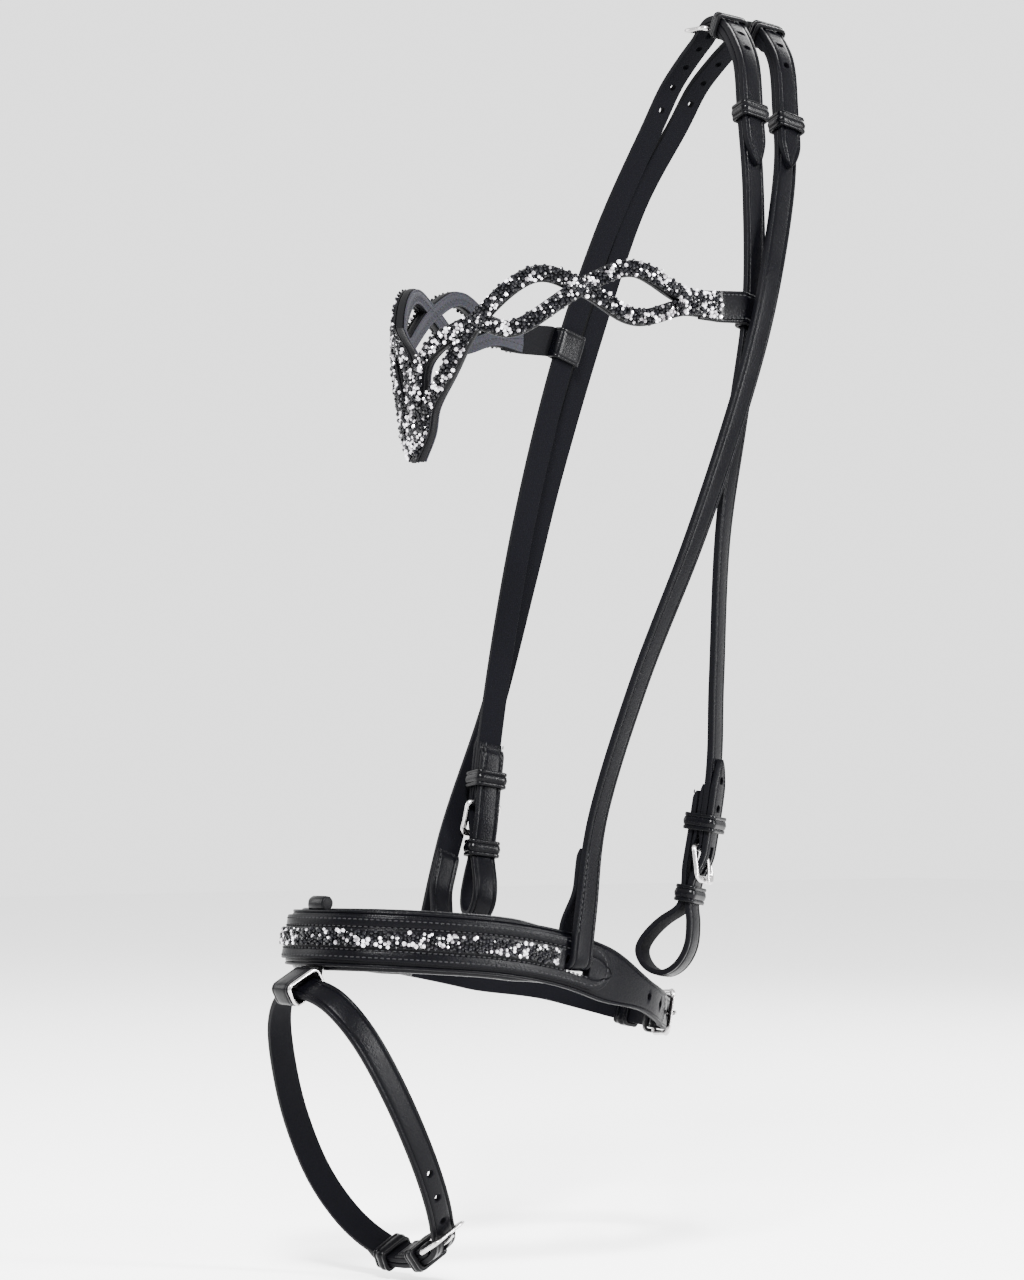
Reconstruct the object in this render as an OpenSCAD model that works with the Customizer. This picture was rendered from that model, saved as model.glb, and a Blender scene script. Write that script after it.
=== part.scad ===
// Snaffle bridle: two long head straps, browband, padded noseband and flash, without bit and reins.
// The nose points to -Y, the horse's near (left) side is +X, and +Z is up.
// The origin is at the poll, under the middle of the front head strap.

/* [Head] */
// Distance between the outsides of the two cheeks
head_width = 172; // [143:1:207]
// Distance from the poll to the front of the nose
head_depth = 291; // [242:1:350]
// Height from the noseband hangers to the poll
head_drop = 525; // [437:1:630]

/* [Head straps] */
// Width of the head straps, cheeks, hangers and bit billets
strap_w = 14; // [12:0.1:17]
// Thickness of those straps
strap_t = 3.5; // [2.9:0.1:4.2]
// Thickness of the bit billets
billet_t = 3; // [2.5:0.1:3.6]
// Distance between the punched holes
hole_pitch = 15; // [12:0.5:18]
// Diameter of a punched hole
hole_d = 4; // [3:0.1:5]
// Distance along the front strap from the poll to its near tip
front_tip = 124; // [104:1:140]
// Distance along the rear strap from the poll to its near tip
rear_tip = 124; // [104:1:140]

/* [Buckles and keepers] */
// Diameter of the buckle wire
wire_d = 3; // [2.5:0.1:3.6]
// Distance between the two bars of a buckle
buckle_len = 17; // [14:0.5:20]
// Diameter of a tongue
tongue_d = 2.4; // [2:0.1:2.9]
// Leather thickness where it is folded around a bar
wrap_t = 1.4; // [1.1:0.1:1.7]
// Thickness of the folded end stitched under its strap
fold_t = 2; // [1.6:0.1:2.4]
// Length of that folded end
fold_len = 34; // [28:1:40]
// Length of a keeper along its strap
keeper_len = 9; // [7:0.5:11]
// Thickness of a keeper's leather
keeper_t = 1.8; // [1.5:0.1:2.2]

/* [Browband] */
// Width of each of the two interlaced strands
strand_w = 9; // [7.5:0.1:10.5]
// Thickness of the strands
brow_t = 4; // [3.3:0.1:4.8]
// Height of the plain ends
brow_end_h = 18; // [15:0.5:21]
// Width of the stone crust on a strand
crust_w = 7.4; // [6:0.1:8.5]
// Height of the stones above the leather
crust_t = 2.2; // [1.8:0.1:2.6]

/* [Noseband] */
// Height of the padded band
band_h = 29; // [26:0.5:35]
// Thickness of the band and its strap ends
band_t = 3.5; // [2.9:0.1:4.2]
// Width of the strap ends that close under the chin
chin_w = 17; // [14:0.5:20]
// Height of the raised overlay
overlay_h = 23; // [20:0.5:25]
// Thickness of the overlay
overlay_t = 2; // [1.6:0.1:2.4]
// Thickness of the padding
padding_t = 5; // [4:0.1:6]
// Height of the slots that the hangers pass through
slot_h = 9.5; // [9:0.1:10.5]

/* [Flash] */
// Width of the flash strap
flash_w = 15; // [12.5:0.1:18]
// Thickness of the flash strap
flash_t = 3; // [2.5:0.1:3.6]

/* [Fits] */
// Clearance between two layers of leather or a layer and a wire
layer_gap = 0.3; // [0.2:0.05:0.5]
// Clearance around straps inside a keeper
keeper_gap = 0.6; // [0.5:0.05:0.8]
// Clearance between a tongue's eye and the heel bar
eye_gap = 0.15; // [0.1:0.05:0.25]

/* [Hidden] */
$fn = 32;
leather = "#1d1d22";
flesh = "#2b2a2e";
steel = "#b9bcc2";
stone = "#3c3c44";

// Control points of a strap's mid-plane: x, y, z, and the turn of its face towards the rear.
// Head straps run from the far side over the poll to the near side.
FRONT_POINTS = [
    [-68, -131, -482, -14], [-74.5, -117, -400, -10], [-84, -88, -290, 0], [-85, -58, -190, 0],
    [-73, -35, -112, 0], [-54, -15, -50, 0], [-39, -7, -19, 0], [0, -10, 2, 0],
    [40, -28, -23, 0], [54, -36, -60, 0], [66, -43, -108, 3], [82, -58, -172, 5],
    [87, -74, -235, 11], [86, -84, -300, 24], [81, -84, -375, 25], [74, -81, -430, 25],
    [68, -92, -505, 25]];
FRONT_POLL = 7;
BROW_FAR = 3;
BROW_NEAR = 11;
REAR_POINTS = [
    [-69.4, -169, -530, -2], [-69.9, -162, -505, -3], [-76, -148, -472, -6], [-85, -131, -443, -8],
    [-91.5, -102, -385, -4], [-95, -75, -310, 0], [-94, -57, -250, 0], [-87, -34, -172, 0], [-70, -15, -95, 0],
    [-54, 5, -46, 0], [-38, 12, -19, 0], [0, 14, 2, 0], [38, 0, -20, 0],
    [52, -8, -55, 0], [64, -18, -92, 1], [87, -48, -148, 4], [94, -66, -192, 6],
    [95, -87, -245, 8], [93, -112, -305, 11], [83, -139, -375, 16], [73, -159, -445, 16],
    [69.8, -165, -495, 6], [69.2, -169, -530, 2]];
REAR_POLL = 11;

// The noseband's route: past the chin buckle, around the far side and the nose, and past the buckle again.
CHIN_POINTS = [[47, -96, -549], [21, -74, -555], [-4, -58, -556], [-30, -51, -555], [-54, -64, -549],
    [-64, -95, -540], [-64, -130, -531]];
NOSE_POINTS = concat(CHIN_POINTS, [
    [-63, -168, -523], [-61, -208, -516], [-52, -249, -512], [-32, -281, -510],
    [0, -291, -509], [32, -281, -509], [52, -249, -511], [61, -208, -515], [63, -168, -523],
    [60, -128, -537]], CHIN_POINTS);
CHIN_START = 1;
FAR_HANGER = 7;
NOSE_FRONT = 11;
NEAR_HANGER = 15;
CHIN_BUCKLE = 18;
NOSE_TILT = 11;

// The flash strap's route in its own slanted plane: towards the near side, and down from the top.
FLASH_TOP = [0, -301, -538];
FLASH_SLANT = 29;
JAW_POINTS = [[38, 135], [24, 150], [0, 158], [-25, 157], [-47, 142], [-58, 115], [-55, 80]];
FLASH_ROUTE = concat(JAW_POINTS, [
    [-43, 46], [-26, 16], [-4, -3], [16, -4], [34, 4], [46, 26], [50, 62], [47, 103]], JAW_POINTS);
FLASH_START = 1;
FLASH_RING = 9;
FLASH_BUCKLE = 16;

// The bit loops: out from the cheek's mid-plane, and down from the lower keeper.
NEAR_LOOP = [[-6.2, -14], [-4.9, -5], [-4.7, 4], [-6.8, 9], [-15, 16], [-22, 25], [-25, 34], [-19, 42],
    [-9, 44], [-1, 38], [3, 27], [1.8, 14], [-0.8, 5], [-1, -5]];
FAR_LOOP = [[-6.2, -14], [-4.9, -5], [-4.7, 4], [-7, 10], [-11, 20], [-11, 30], [-4, 37], [4, 34],
    [6, 25], [3, 14], [-0.8, 5], [-1, -5]];

// The browband lies on half an ellipse. Its two strands: angle from the middle, and height.
BROW_HALF = 88;
BROW_REACH = 165;
BROW_BACK = -58;
RISING_STRAND = [[80, -170], [72, -170], [61, -157], [50, -167], [34, -190], [23, -187], [11, -196],
    [3, -208], [1.5, -228], [0, -254]];
FALLING_STRAND = [[80, -178], [72, -176], [61, -183], [50, -169], [38, -162], [23, -186], [14, -212],
    [7, -230], [5, -244], [0, -257]];

// ---- Routes ------------------------------------------------------------------------------
function unit(v) = v / norm(v);
function spline(a, b, c, d, t) = b + ((c - a) * t + (2 * a - 5 * b + 4 * c - d) * t * t
    + (3 * b - a - 3 * c + d) * t * t * t) / 2;
function curve(p, n) = let (last = len(p) - 1) concat(
    [for (i = [0:last - 1], k = [0:n - 1])
        spline(p[max(i - 1, 0)], p[i], p[i + 1], p[min(i + 2, last)], k / n)], [p[last]]);
function gap_to_next(c, i) = let (v = c[min(i + 1, len(c) - 1)] - c[i]) norm([v[0], v[1], v[2]]);
function distances(c) = [for (i = 0, s = 0; i < len(c); s = s + gap_to_next(c, i), i = i + 1) s];
// A line holds tables of x, y, z and face against the distance along it, and a fixed cross direction.
SAMPLES = 8;
function line(p, zero, cross_dir) = let (c = curve(p, SAMPLES), s = distances(c), s0 = s[zero * SAMPLES])
    [for (axis = [0:3]) [for (i = [0:len(c) - 1]) [s[i] - s0, c[i][axis]]], cross_dir];
function reach(l, i) = l[0][i * SAMPLES][0];
function place(l, s) = [lookup(s, l[0]), lookup(s, l[1]), lookup(s, l[2])];
function cross_of(l, s) = is_list(l[4]) ? l[4] : let (a = lookup(s, l[3])) [-sin(a), cos(a), 0];
// A frame is a point, the direction of travel and the outward normal of the strap's face.
function frame(l, s) = let (t = unit(place(l, s + 3) - place(l, s - 3)))
    [place(l, s), t, unit(cross(t, cross_of(l, s)))];
function value(f, s) = is_num(f) ? f : f(s);
function smooth(s, a, b) = let (u = min(max((s - a) / (b - a), 0), 1)) u * u * (3 - 2 * u);
function marks(a, b, step) = let (n = max(1, ceil(abs(b - a) / step))) [for (i = [0:n]) a + (b - a) * i / n];

// Overall sizes stretch every route from the poll.
STRETCH = [head_width / 172, head_depth / 291, head_drop / 525];
function stretched(q) = [q[0] * STRETCH[0], q[1] * STRETCH[1], q[2] * STRETCH[2]];
function sized(p) = [for (q = p) concat(stretched(q), [len(q) > 3 ? q[3] : 0])];
FRONT = line(sized(FRONT_POINTS), FRONT_POLL);
REAR = line(sized(REAR_POINTS), REAR_POLL);
NOSE = line(sized(NOSE_POINTS), CHIN_START, [0, sin(NOSE_TILT), cos(NOSE_TILT)]);
FLASH_ACROSS = [0, cos(FLASH_SLANT), sin(FLASH_SLANT)];
FLASH_DOWN = [0, sin(FLASH_SLANT), -cos(FLASH_SLANT)];
FLASH = line(sized([for (q = FLASH_ROUTE) FLASH_TOP + [q[0], 0, 0] + FLASH_DOWN * q[1]]),
    FLASH_START, FLASH_ACROSS);

// ---- Stations: a frame with the strap's width and thickness there ------------------------
function layer(l, at, lift, w, t, way = 1, face = 1) = [for (s = at) let (f = frame(l, s))
    [f[0] + f[2] * value(lift, s), way * f[1], face * f[2], value(w, s), value(t, s)]];
function reverse(a) = [for (i = [len(a) - 1:-1:0]) [a[i][0], -a[i][1], a[i][2], a[i][3], a[i][4]]];
// Half a turn at the end of a layer, towards the strap's inner face.
function turn(l, s, way, r, lift, w, t) = let (f = frame(l, s), c = f[0] + f[2] * (lift - r), d = way * f[1])
    [for (a = [30:30:150]) let (out = f[2] * cos(a) + d * sin(a))
        [c + out * r, d * cos(a) - f[2] * sin(a), out, w, t]];
// A loop drawn in the plane of a frame: out along its normal and down along its travel.
function loop(f, outline, w, t) = let (c = curve(outline, 2), across = cross(f[1], f[2]), n = len(c) - 1)
    [for (i = [0:n]) let (v = c[min(i + 1, n)] - c[max(i - 1, 0)], d = unit(f[2] * v[0] + f[1] * v[1]))
        [f[0] + f[2] * c[i][0] + f[1] * c[i][1], d, cross(d, across), w, t]];

// ---- Buckles: line, heel bar, way to the chape, width, chape, billet, billet's low lift --
BIT_TAIL = 42;
PINCH = 26;
FIXED_AT = 15;
EYE_WALL = 1.1;
FOLD_SLIT = 0.1;
SIDE_PLAY = 1.5;
TONGUE_HOLE = 8.5;
RUNNER_EASE = 0.4;
CROWN_FRONT = [FRONT, 0, 1, strap_w, strap_t, strap_t, 0];
CROWN_REAR = [REAR, 7, 1, strap_w, strap_t, strap_t, 0];
NEAR_BIT = [FRONT, reach(FRONT, len(FRONT_POINTS) - 1) - BIT_TAIL, -1, strap_w, strap_t, billet_t, -1];
FAR_BIT = [FRONT, reach(FRONT, 0) + BIT_TAIL, 1, strap_w, strap_t, billet_t, -1];
CHIN = [NOSE, reach(NOSE, CHIN_BUCKLE), 1, chin_w, band_t, band_t, 0];
CHIN_CHAPE = [NOSE, 0, 1, chin_w, band_t, band_t, 0];
JAW = [FLASH, reach(FLASH, FLASH_BUCKLE), 1, flash_w, flash_t, flash_t, 0];
JAW_CHAPE = [FLASH, 0, 1, flash_w, flash_t, flash_t, 0];
wrap_r = wire_d / 2 + layer_gap / 2 + wrap_t / 2;
function top_lift(b) = b[4] / 2 + layer_gap + b[5] / 2;
function rise(b, s) = b[6] + (top_lift(b) - b[6]) * smooth((s - b[1]) * b[2], -21, -3);
function skived(b) = (b[4] - wrap_t) / 2;
function heel_z(b) = skived(b) - wrap_r;
function fold_lift(b) = -b[4] / 2 - FOLD_SLIT - fold_t / 2;
// A strap's end, thinned, turned around the heel bar and stitched back under itself.
function fold(b) = let (l = b[0], h = b[1], k = b[2], w = b[3]) concat(
    layer(l, [h + 9 * k], 0, w, b[4], -k),
    layer(l, [h + 3 * k, h], skived(b), w, wrap_t, -k),
    turn(l, h, -k, wrap_r, skived(b), w, wrap_t),
    layer(l, [h], skived(b) - 2 * wrap_r, w, wrap_t, k, -1),
    layer(l, marks(h + 6 * k, h + fold_len * k, 10), fold_lift(b), w, fold_t, k, -1));
function to_tip(a, tip, step) = let (k = sign(tip - a)) concat(marks(a, tip - 10 * k, step),
    [tip - 5 * k, tip - 2 * k, tip]);
function pointed(w, tip) = function (s) let (d = abs(tip - s)) (d >= 10 ? 1 : d >= 5 ? 0.85 : d >= 2 ? 0.6 : 0.4)
    * value(w, s);

// ---- Shapes ------------------------------------------------------------------------------
function section(st) = let (across = cross(st[2], st[1]) * st[3] / 2, out = st[2] * st[4] / 2)
    [st[0] - across - out, st[0] + across - out, st[0] + across + out, st[0] - across + out];
module sweep(stations) {
    last = 4 * len(stations) - 4;
    sides = [for (i = [0:4:last - 4], k = [0:3]) let (a = i + k, b = i + (k + 1) % 4)
        each [[b, a, a + 4], [b, a + 4, b + 4]]];
    ends = [[0, 1, 2], [0, 2, 3], [last + 2, last + 1, last], [last + 3, last + 2, last]];
    polyhedron([for (st = stations) each section(st)], concat(ends, sides));
}
// Local axes: X across the strap, Y along it, Z out of its face.
module on(f, way = 1, lift = 0) {
    y = way * f[1];
    z = f[2];
    x = cross(y, z);
    p = f[0] + z * lift;
    multmatrix([[x[0], y[0], z[0], p[0]], [x[1], y[1], z[1], p[1]], [x[2], y[2], z[2], p[2]], [0, 0, 0, 1]])
        children();
}
module at_heel(b) on(frame(b[0], b[1]), b[2]) children();
module rod(a, b, d) {
    v = b - a;
    translate(a) rotate([0, acos(v[2] / norm(v)), atan2(v[1], v[0])]) cylinder(h = norm(v), d = d);
}
// The front bar lies over the billet: its place along Y and Z of the heel's axes.
BAR_LIFT = 0.9;
function front_bar(b) = let (f = frame(b[0], b[1]), s = b[1] - b[2] * buckle_len, g = frame(b[0], s),
    p = g[0] + g[2] * (rise(b, s) + b[5] / 2 + layer_gap + wire_d * BAR_LIFT) - f[0]) [p * f[1] * b[2], p * f[2]];
// A flat frame with a round heel bar between its open ends.
FRAME_T = 1.1;
CORNER_R = 2;
module buckle(b) color(steel) at_heel(b) {
    inner = b[3] / 2 + SIDE_PLAY;
    f = front_bar(b);
    rise = f[1] - heel_z(b);
    length = norm([f[0], rise]);
    translate([0, 0, heel_z(b)]) rotate([atan2(-rise, -f[0]), 0, 0]) {
        linear_extrude(wire_d * FRAME_T, center = true) difference() {
            translate([0, -length / 2]) rounded(2 * (inner + wire_d), length + wire_d * FRAME_T, CORNER_R);
            translate([-inner, wire_d / 2 - length]) square([2 * inner, length + wire_d]);
        }
        rod([-inner - wire_d / 2, 0, 0], [inner + wire_d / 2, 0, 0], wire_d);
    }
}
module tongue(b) color(steel) at_heel(b) {
    f = front_bar(b);
    heel = [0, 0, heel_z(b)];
    bar = [0, f[0], f[1]];
    along = unit(bar - heel);
    up = [0, along[2], -along[1]];
    eye = wire_d / 2 + eye_gap;
    start = heel + up * (eye + EYE_WALL / 2) + along * 1.2;
    over = bar + up * ((wire_d + tongue_d) / 2 + layer_gap);
    tip = over + unit(over - start) * 1.5;
    difference() {
        union() {
            translate(heel) rotate([0, 90, 0]) cylinder(h = 3, r = eye + EYE_WALL, center = true);
            rod(start, tip, tongue_d);
        }
        translate(heel) rotate([0, 90, 0]) cylinder(h = 4, r = eye, center = true);
    }
}
// Cuts: the notch for a tongue's eye, the slit that a tongue comes through, and punched holes.
module notch(b) at_heel(b) translate([-2.1, -7, -9]) cube([4.2, 10.4, 12]);
module tongue_slit(b) at_heel(b) translate([-tongue_d / 2 - 0.5, 3 - buckle_len, -6])
    cube([tongue_d + 1, buckle_len - 2.4, 16]);
module holes(l, at, lift, t) for (s = at) on(frame(l, s), 1, lift) cylinder(h = t + 4, d = hole_d, center = true);
function pitched(b, from, to) = [for (i = [from:to]) b[1] + b[2] * (i * hole_pitch - TONGUE_HOLE)];
module rounded(w, h, r) {
    square([w - 2 * r, h], center = true);
    square([w, h - 2 * r], center = true);
    for (x = [-1, 1], y = [-1, 1]) translate([x * (w / 2 - r), y * (h / 2 - r)]) circle(r);
}
module tube(w, h, wall, length) rotate([90, 0, 0]) linear_extrude(length, center = true) difference() {
    rounded(w + 2 * wall, h + 2 * wall, wall);
    square([w, h], center = true);
}
module keeper(l, s, w, low, high) color(leather) on(frame(l, s), 1, (low + high) / 2)
    tube(w + 2 * keeper_gap, high - low + 2 * keeper_gap, keeper_t, keeper_len);
module fixed_keeper(b) keeper(b[0], b[1] + b[2] * FIXED_AT, b[3],
    fold_lift(b) - fold_t / 2, top_lift(b) + b[5] / 2);
module runner(b, away, low) keeper(b[0], b[1] + b[2] * away, b[3], low - RUNNER_EASE,
    top_lift(b) + b[5] / 2 + RUNNER_EASE);

// ---- Head straps -------------------------------------------------------------------------
STEP = 10;
FRONT_RUNNER = 92;
REAR_RUNNER = 88;
FAR_HOLES = 4;
module crown_strap(b, start, tip) {
    difference() {
        sweep(concat(start, layer(b[0], to_tip(b[1] - 60, tip, STEP), function (s) rise(b, s),
            pointed(strap_w, tip), strap_t)));
        children();
        tongue_slit(b);
        holes(b[0], pitched(b, -FAR_HOLES, -1), 0, strap_t);
        holes(b[0], [for (s = pitched(b, 2, 8)) if (s < tip - 12) s], top_lift(b), strap_t);
    }
}
module cheek_headstrap() color(leather) crown_strap(CROWN_FRONT, concat(reverse(fold(FAR_BIT)),
    layer(FRONT, marks(FAR_BIT[1] + 18, -70, STEP), 0, strap_w, strap_t)), front_tip) notch(FAR_BIT);
module noseband_headstrap() color(leather) crown_strap(CROWN_REAR, concat(reverse(hanger_end(-1)),
    layer(REAR, marks(reach(REAR, 0) + HANGER_RISE + 10, CROWN_REAR[1] - 70, STEP), 0, strap_w, strap_t)), rear_tip);
module near_cheekpiece() color(leather) difference() {
    sweep(concat(reverse(fold(CROWN_FRONT)),
        layer(FRONT, marks(CROWN_FRONT[1] + 18, NEAR_BIT[1] - 18, STEP), 0, strap_w, strap_t), fold(NEAR_BIT)));
    notch(CROWN_FRONT);
    notch(NEAR_BIT);
}
module near_noseband_hanger() color(leather) difference() {
    sweep(concat(reverse(fold(CROWN_REAR)),
        layer(REAR, marks(CROWN_REAR[1] + 18, reach(REAR, len(REAR_POINTS) - 1) - HANGER_RISE - 10, STEP),
            0, strap_w, strap_t), hanger_end(1)));
    notch(CROWN_REAR);
}
// A hanger goes down outside the noseband, through its slot and up inside, where it is stitched.
HANGER_DROP = 9.2;
HANGER_TURN = 5.4;
HANGER_RISE = 66;
function hanger_end(k) = let (e = reach(REAR, k > 0 ? len(REAR_POINTS) - 1 : 0), s0 = e - k * HANGER_DROP,
    thick = function (s) abs(s - e) < 20 ? billet_t : strap_t, inner = -strap_t / 2 - FOLD_SLIT - billet_t / 2)
    concat(layer(REAR, marks(e - k * HANGER_RISE, s0, STEP), 0, strap_w, thick, k),
        turn(REAR, s0, k, HANGER_TURN, 0, strap_w, billet_t),
        layer(REAR, marks(s0, s0 - k * 56, 7), function (s) -2 * HANGER_TURN
            + (inner + 2 * HANGER_TURN) * smooth(abs(s - s0), 14, 38), strap_w, billet_t, -k, -1));

// A bit billet is stitched inside the cheek's end, loops around the bit ring and comes up outside.
INNER_LIFT = -6.2;
INNER_TOP = 30;
BIT_RUNNER = 13;
BIT_TIP = 48;
module bit_billet(b, outline) color(leather) {
    k = b[2];
    pinch = b[1] - k * PINCH;
    f = frame(FRONT, pinch);
    down = [f[0], -k * f[1], f[2]];
    tip = b[1] + k * BIT_TIP;
    difference() {
        sweep(concat(layer(FRONT, marks(b[1] + k * INNER_TOP, pinch + k * 18, STEP), INNER_LIFT, strap_w, billet_t,
                -k, -1), loop(down, outline, strap_w, billet_t),
            layer(FRONT, to_tip(pinch + k * 8, tip, 6), function (s) rise(b, s), pointed(strap_w, tip), billet_t, k)));
        tongue_slit(b);
        holes(FRONT, pitched(b, 2, 3), top_lift(b), billet_t);
    }
}
module near_bit_billet() bit_billet(NEAR_BIT, NEAR_LOOP);
module far_bit_billet() bit_billet(FAR_BIT, FAR_LOOP);
module bit_keeper(b) keeper(FRONT, b[1] - b[2] * PINCH, strap_w, -4.8 - billet_t / 2, -0.8 + billet_t / 2);

// ---- Browband ----------------------------------------------------------------------------
LAYER_SLIT = 0.35;
BROW_SLIT = 0.5;
STRAND_STEP = 0.3;
LINING_T = 1;
BROW_LOOP_GAP = 0.9;
BROW_LOOP_T = 2;
BROW_TAB_T = 3;
BROW_TAB_ANGLE = 80.3;
function brow_point(q) = [BROW_HALF * sin(q[0]) * STRETCH[0],
    (BROW_BACK - BROW_REACH * cos(q[0])) * STRETCH[1], q[1] * STRETCH[2]];
function brow_normal(a) = unit([sin(a) / BROW_HALF / STRETCH[0], -cos(a) / BROW_REACH / STRETCH[1], 0]);
function brow_stations(outline, lift, w, t) = let (c = curve(outline, 3), n = len(c) - 1)
    [for (i = [0:n]) let (out = brow_normal(c[i][0]),
        d = brow_point(c[min(i + 1, n)]) - brow_point(c[max(i - 1, 0)]))
        [brow_point(c[i]) + out * lift, unit(d - out * (d * out)), out, w, t]];
BOX = [[0, 1, 2, 3], [7, 6, 5, 4], [1, 0, 4, 5], [2, 1, 5, 6], [3, 2, 6, 7], [0, 3, 7, 4]];
module strands(lift, w, t) for (side = [0, 1], k = [0, 1]) mirror([side, 0, 0]) {
    st = brow_stations([RISING_STRAND, FALLING_STRAND][k], lift + k * STRAND_STEP, w, t);
    for (i = [0:len(st) - 2]) hull() polyhedron(concat(section(st[i]), section(st[i + 1])), BOX);
}
module browband_base() color(leather) strands(0, strand_w, brow_t);
module browband_crystals() color(stone) strands((brow_t + crust_t) / 2 + BROW_SLIT, crust_w, crust_t);
module browband_lining() color(flesh) strands(-(brow_t + LINING_T) / 2 - BROW_SLIT, strand_w - 1, LINING_T);
// A plain end: a tab that ends in a loop around the front head strap.
function brow_loop_at(index, drop) = reach(FRONT, index) + drop;
module browband_loop(s, side) color(leather) {
    f = frame(FRONT, s);
    across = cross(f[1], f[2]);
    w = strap_w + 2 * BROW_LOOP_GAP;
    h = strap_t + 2 * BROW_LOOP_GAP;
    on(f) tube(w, h, BROW_LOOP_T, brow_end_h);
    forward = across * (across[1] < 0 ? 1 : -1);
    corner = f[0] + forward * (w / 2 - 1) + f[2] * (h / 2 + BROW_LOOP_T / 2);
    tab = brow_point([BROW_TAB_ANGLE, -174]);
    end = [side * tab[0], tab[1], tab[2]];
    out = brow_normal(BROW_TAB_ANGLE);
    hull() {
        on([corner, f[1], f[2]]) cube([0.4, brow_end_h - 0.6, BROW_LOOP_T - 0.4], center = true);
        on([end, [0, 0, 1], [side * out[0], out[1], 0]]) cube([0.4, brow_end_h - 1, BROW_TAB_T], center = true);
    }
}
module near_browband_loop() browband_loop(brow_loop_at(BROW_NEAR, 4), 1);
module far_browband_loop() browband_loop(brow_loop_at(BROW_FAR, 14), -1);

// ---- Noseband ----------------------------------------------------------------------------
NOSE_STEP = 9;
OVERLAY_END = 24;
STONES_SHORT = 13;
PADDING_SHORT = 14;
SLOT_DROP = 2.5;
CHIN_RUNNER = 60;
CHIN_TIP = 92;
FLASH_TAB_W = 14;
FLASH_TAB_T = 3;
function nose_width(s) = chin_w + (band_h - chin_w) * (smooth(s, reach(NOSE, 4.5), reach(NOSE, 6.25))
    - smooth(s, reach(NOSE, NEAR_HANGER) + 18, reach(NOSE, NEAR_HANGER) + 64));
function outside(l) = band_t / 2 + l;
module hanger_slots() for (i = [FAR_HANGER, NEAR_HANGER]) on(frame(NOSE, reach(NOSE, i)))
    translate([SLOT_DROP - slot_h / 2, -strap_w / 2 - 1.5, -9]) cube([slot_h, strap_w + 3, 18]);
module noseband_strap() color(leather) difference() {
    tip = CHIN[1] + CHIN_TIP;
    sweep(concat(reverse(fold(CHIN_CHAPE)), layer(NOSE, to_tip(18, tip, NOSE_STEP), function (s) rise(CHIN, s),
        pointed(function (s) nose_width(s), tip), band_t)));
    notch(CHIN_CHAPE);
    tongue_slit(CHIN);
    hanger_slots();
    holes(NOSE, pitched(CHIN, -3, -1), 0, band_t);
}
module noseband_overlay() color(leather) difference() {
    from = reach(NOSE, FAR_HANGER) - OVERLAY_END;
    to = reach(NOSE, NEAR_HANGER) + OVERLAY_END;
    sweep(layer(NOSE, concat([from, from + 3], marks(from + 8, to - 8, NOSE_STEP), [to - 3, to]),
        outside(LAYER_SLIT + overlay_t / 2), function (s) let (d = min(s - from, to - s))
            overlay_h * (d >= 8 ? 1 : d >= 3 ? 0.8 : 0.45), overlay_t));
    hanger_slots();
}
module noseband_crystals() color(stone) sweep(layer(NOSE,
    marks(reach(NOSE, FAR_HANGER) + STONES_SHORT, reach(NOSE, NEAR_HANGER) - STONES_SHORT, NOSE_STEP),
    outside(2 * LAYER_SLIT + overlay_t + crust_t / 2), crust_w + 2, crust_t));
module noseband_padding() color(flesh) difference() {
    sweep(layer(NOSE,
        marks(reach(NOSE, FAR_HANGER) + PADDING_SHORT, reach(NOSE, NEAR_HANGER) - PADDING_SHORT, NOSE_STEP),
        -outside(LAYER_SLIT + padding_t / 2), band_h + 2, padding_t));
    on(frame(NOSE, reach(NOSE, NOSE_FRONT)), 1, -outside(LAYER_SLIT))
        translate([-band_h, -FLASH_TAB_W / 2 - 1, -FLASH_TAB_T - 2]) cube([2 * band_h, FLASH_TAB_W + 2, 9]);
}

// ---- Flash -------------------------------------------------------------------------------
RING_AT = 9.5;
RING_OPEN = 9;
RING_WALL = 2;
RING_WIRE = 2;
TAB_RISE = 6;
TAB_FOOT = 9;
TAB_SLIT = 1;
TAB_HEAD = 7;
JAW_RUNNER = 46;
JAW_TIP = 68;
function ring_centre() = place(FLASH, reach(FLASH, FLASH_RING) + RING_AT);
module across_ring() translate(ring_centre()) rotate([FLASH_SLANT, 0, 0]) children();
// The tab lies behind the band: its head over the top edge, and its loop below the bottom edge.
module flash_tab() color(leather) {
    on(frame(NOSE, reach(NOSE, NOSE_FRONT)), 1, -outside(TAB_SLIT)) {
        translate([-band_h / 2 - TAB_RISE, -FLASH_TAB_W / 2, -FLASH_TAB_T])
            cube([band_h + TAB_RISE + TAB_FOOT, FLASH_TAB_W, FLASH_TAB_T]);
        translate([-band_h / 2 - TAB_RISE, -FLASH_TAB_W / 2, -FLASH_TAB_T])
            cube([TAB_RISE - TAB_SLIT, FLASH_TAB_W, TAB_HEAD]);
    }
    across_ring() rotate([90, 0, 90]) linear_extrude(FLASH_TAB_W, center = true) difference() {
        rounded(flash_w + 3 + 2 * RING_WALL, RING_OPEN + 2 * RING_WALL, 3);
        square([flash_w + 3, RING_OPEN], center = true);
    }
}
module flash_wire_ring() color(steel) across_ring()
    translate([FLASH_TAB_W / 2 + RING_WIRE / 2 + layer_gap, 0, 0]) rotate([90, 0, 90])
        linear_extrude(RING_WIRE, center = true) difference() {
            rounded(flash_w + 3 + 2 * RING_WIRE, RING_OPEN + 2 * RING_WIRE, CORNER_R);
            square([flash_w + 3, RING_OPEN], center = true);
        }
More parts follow.
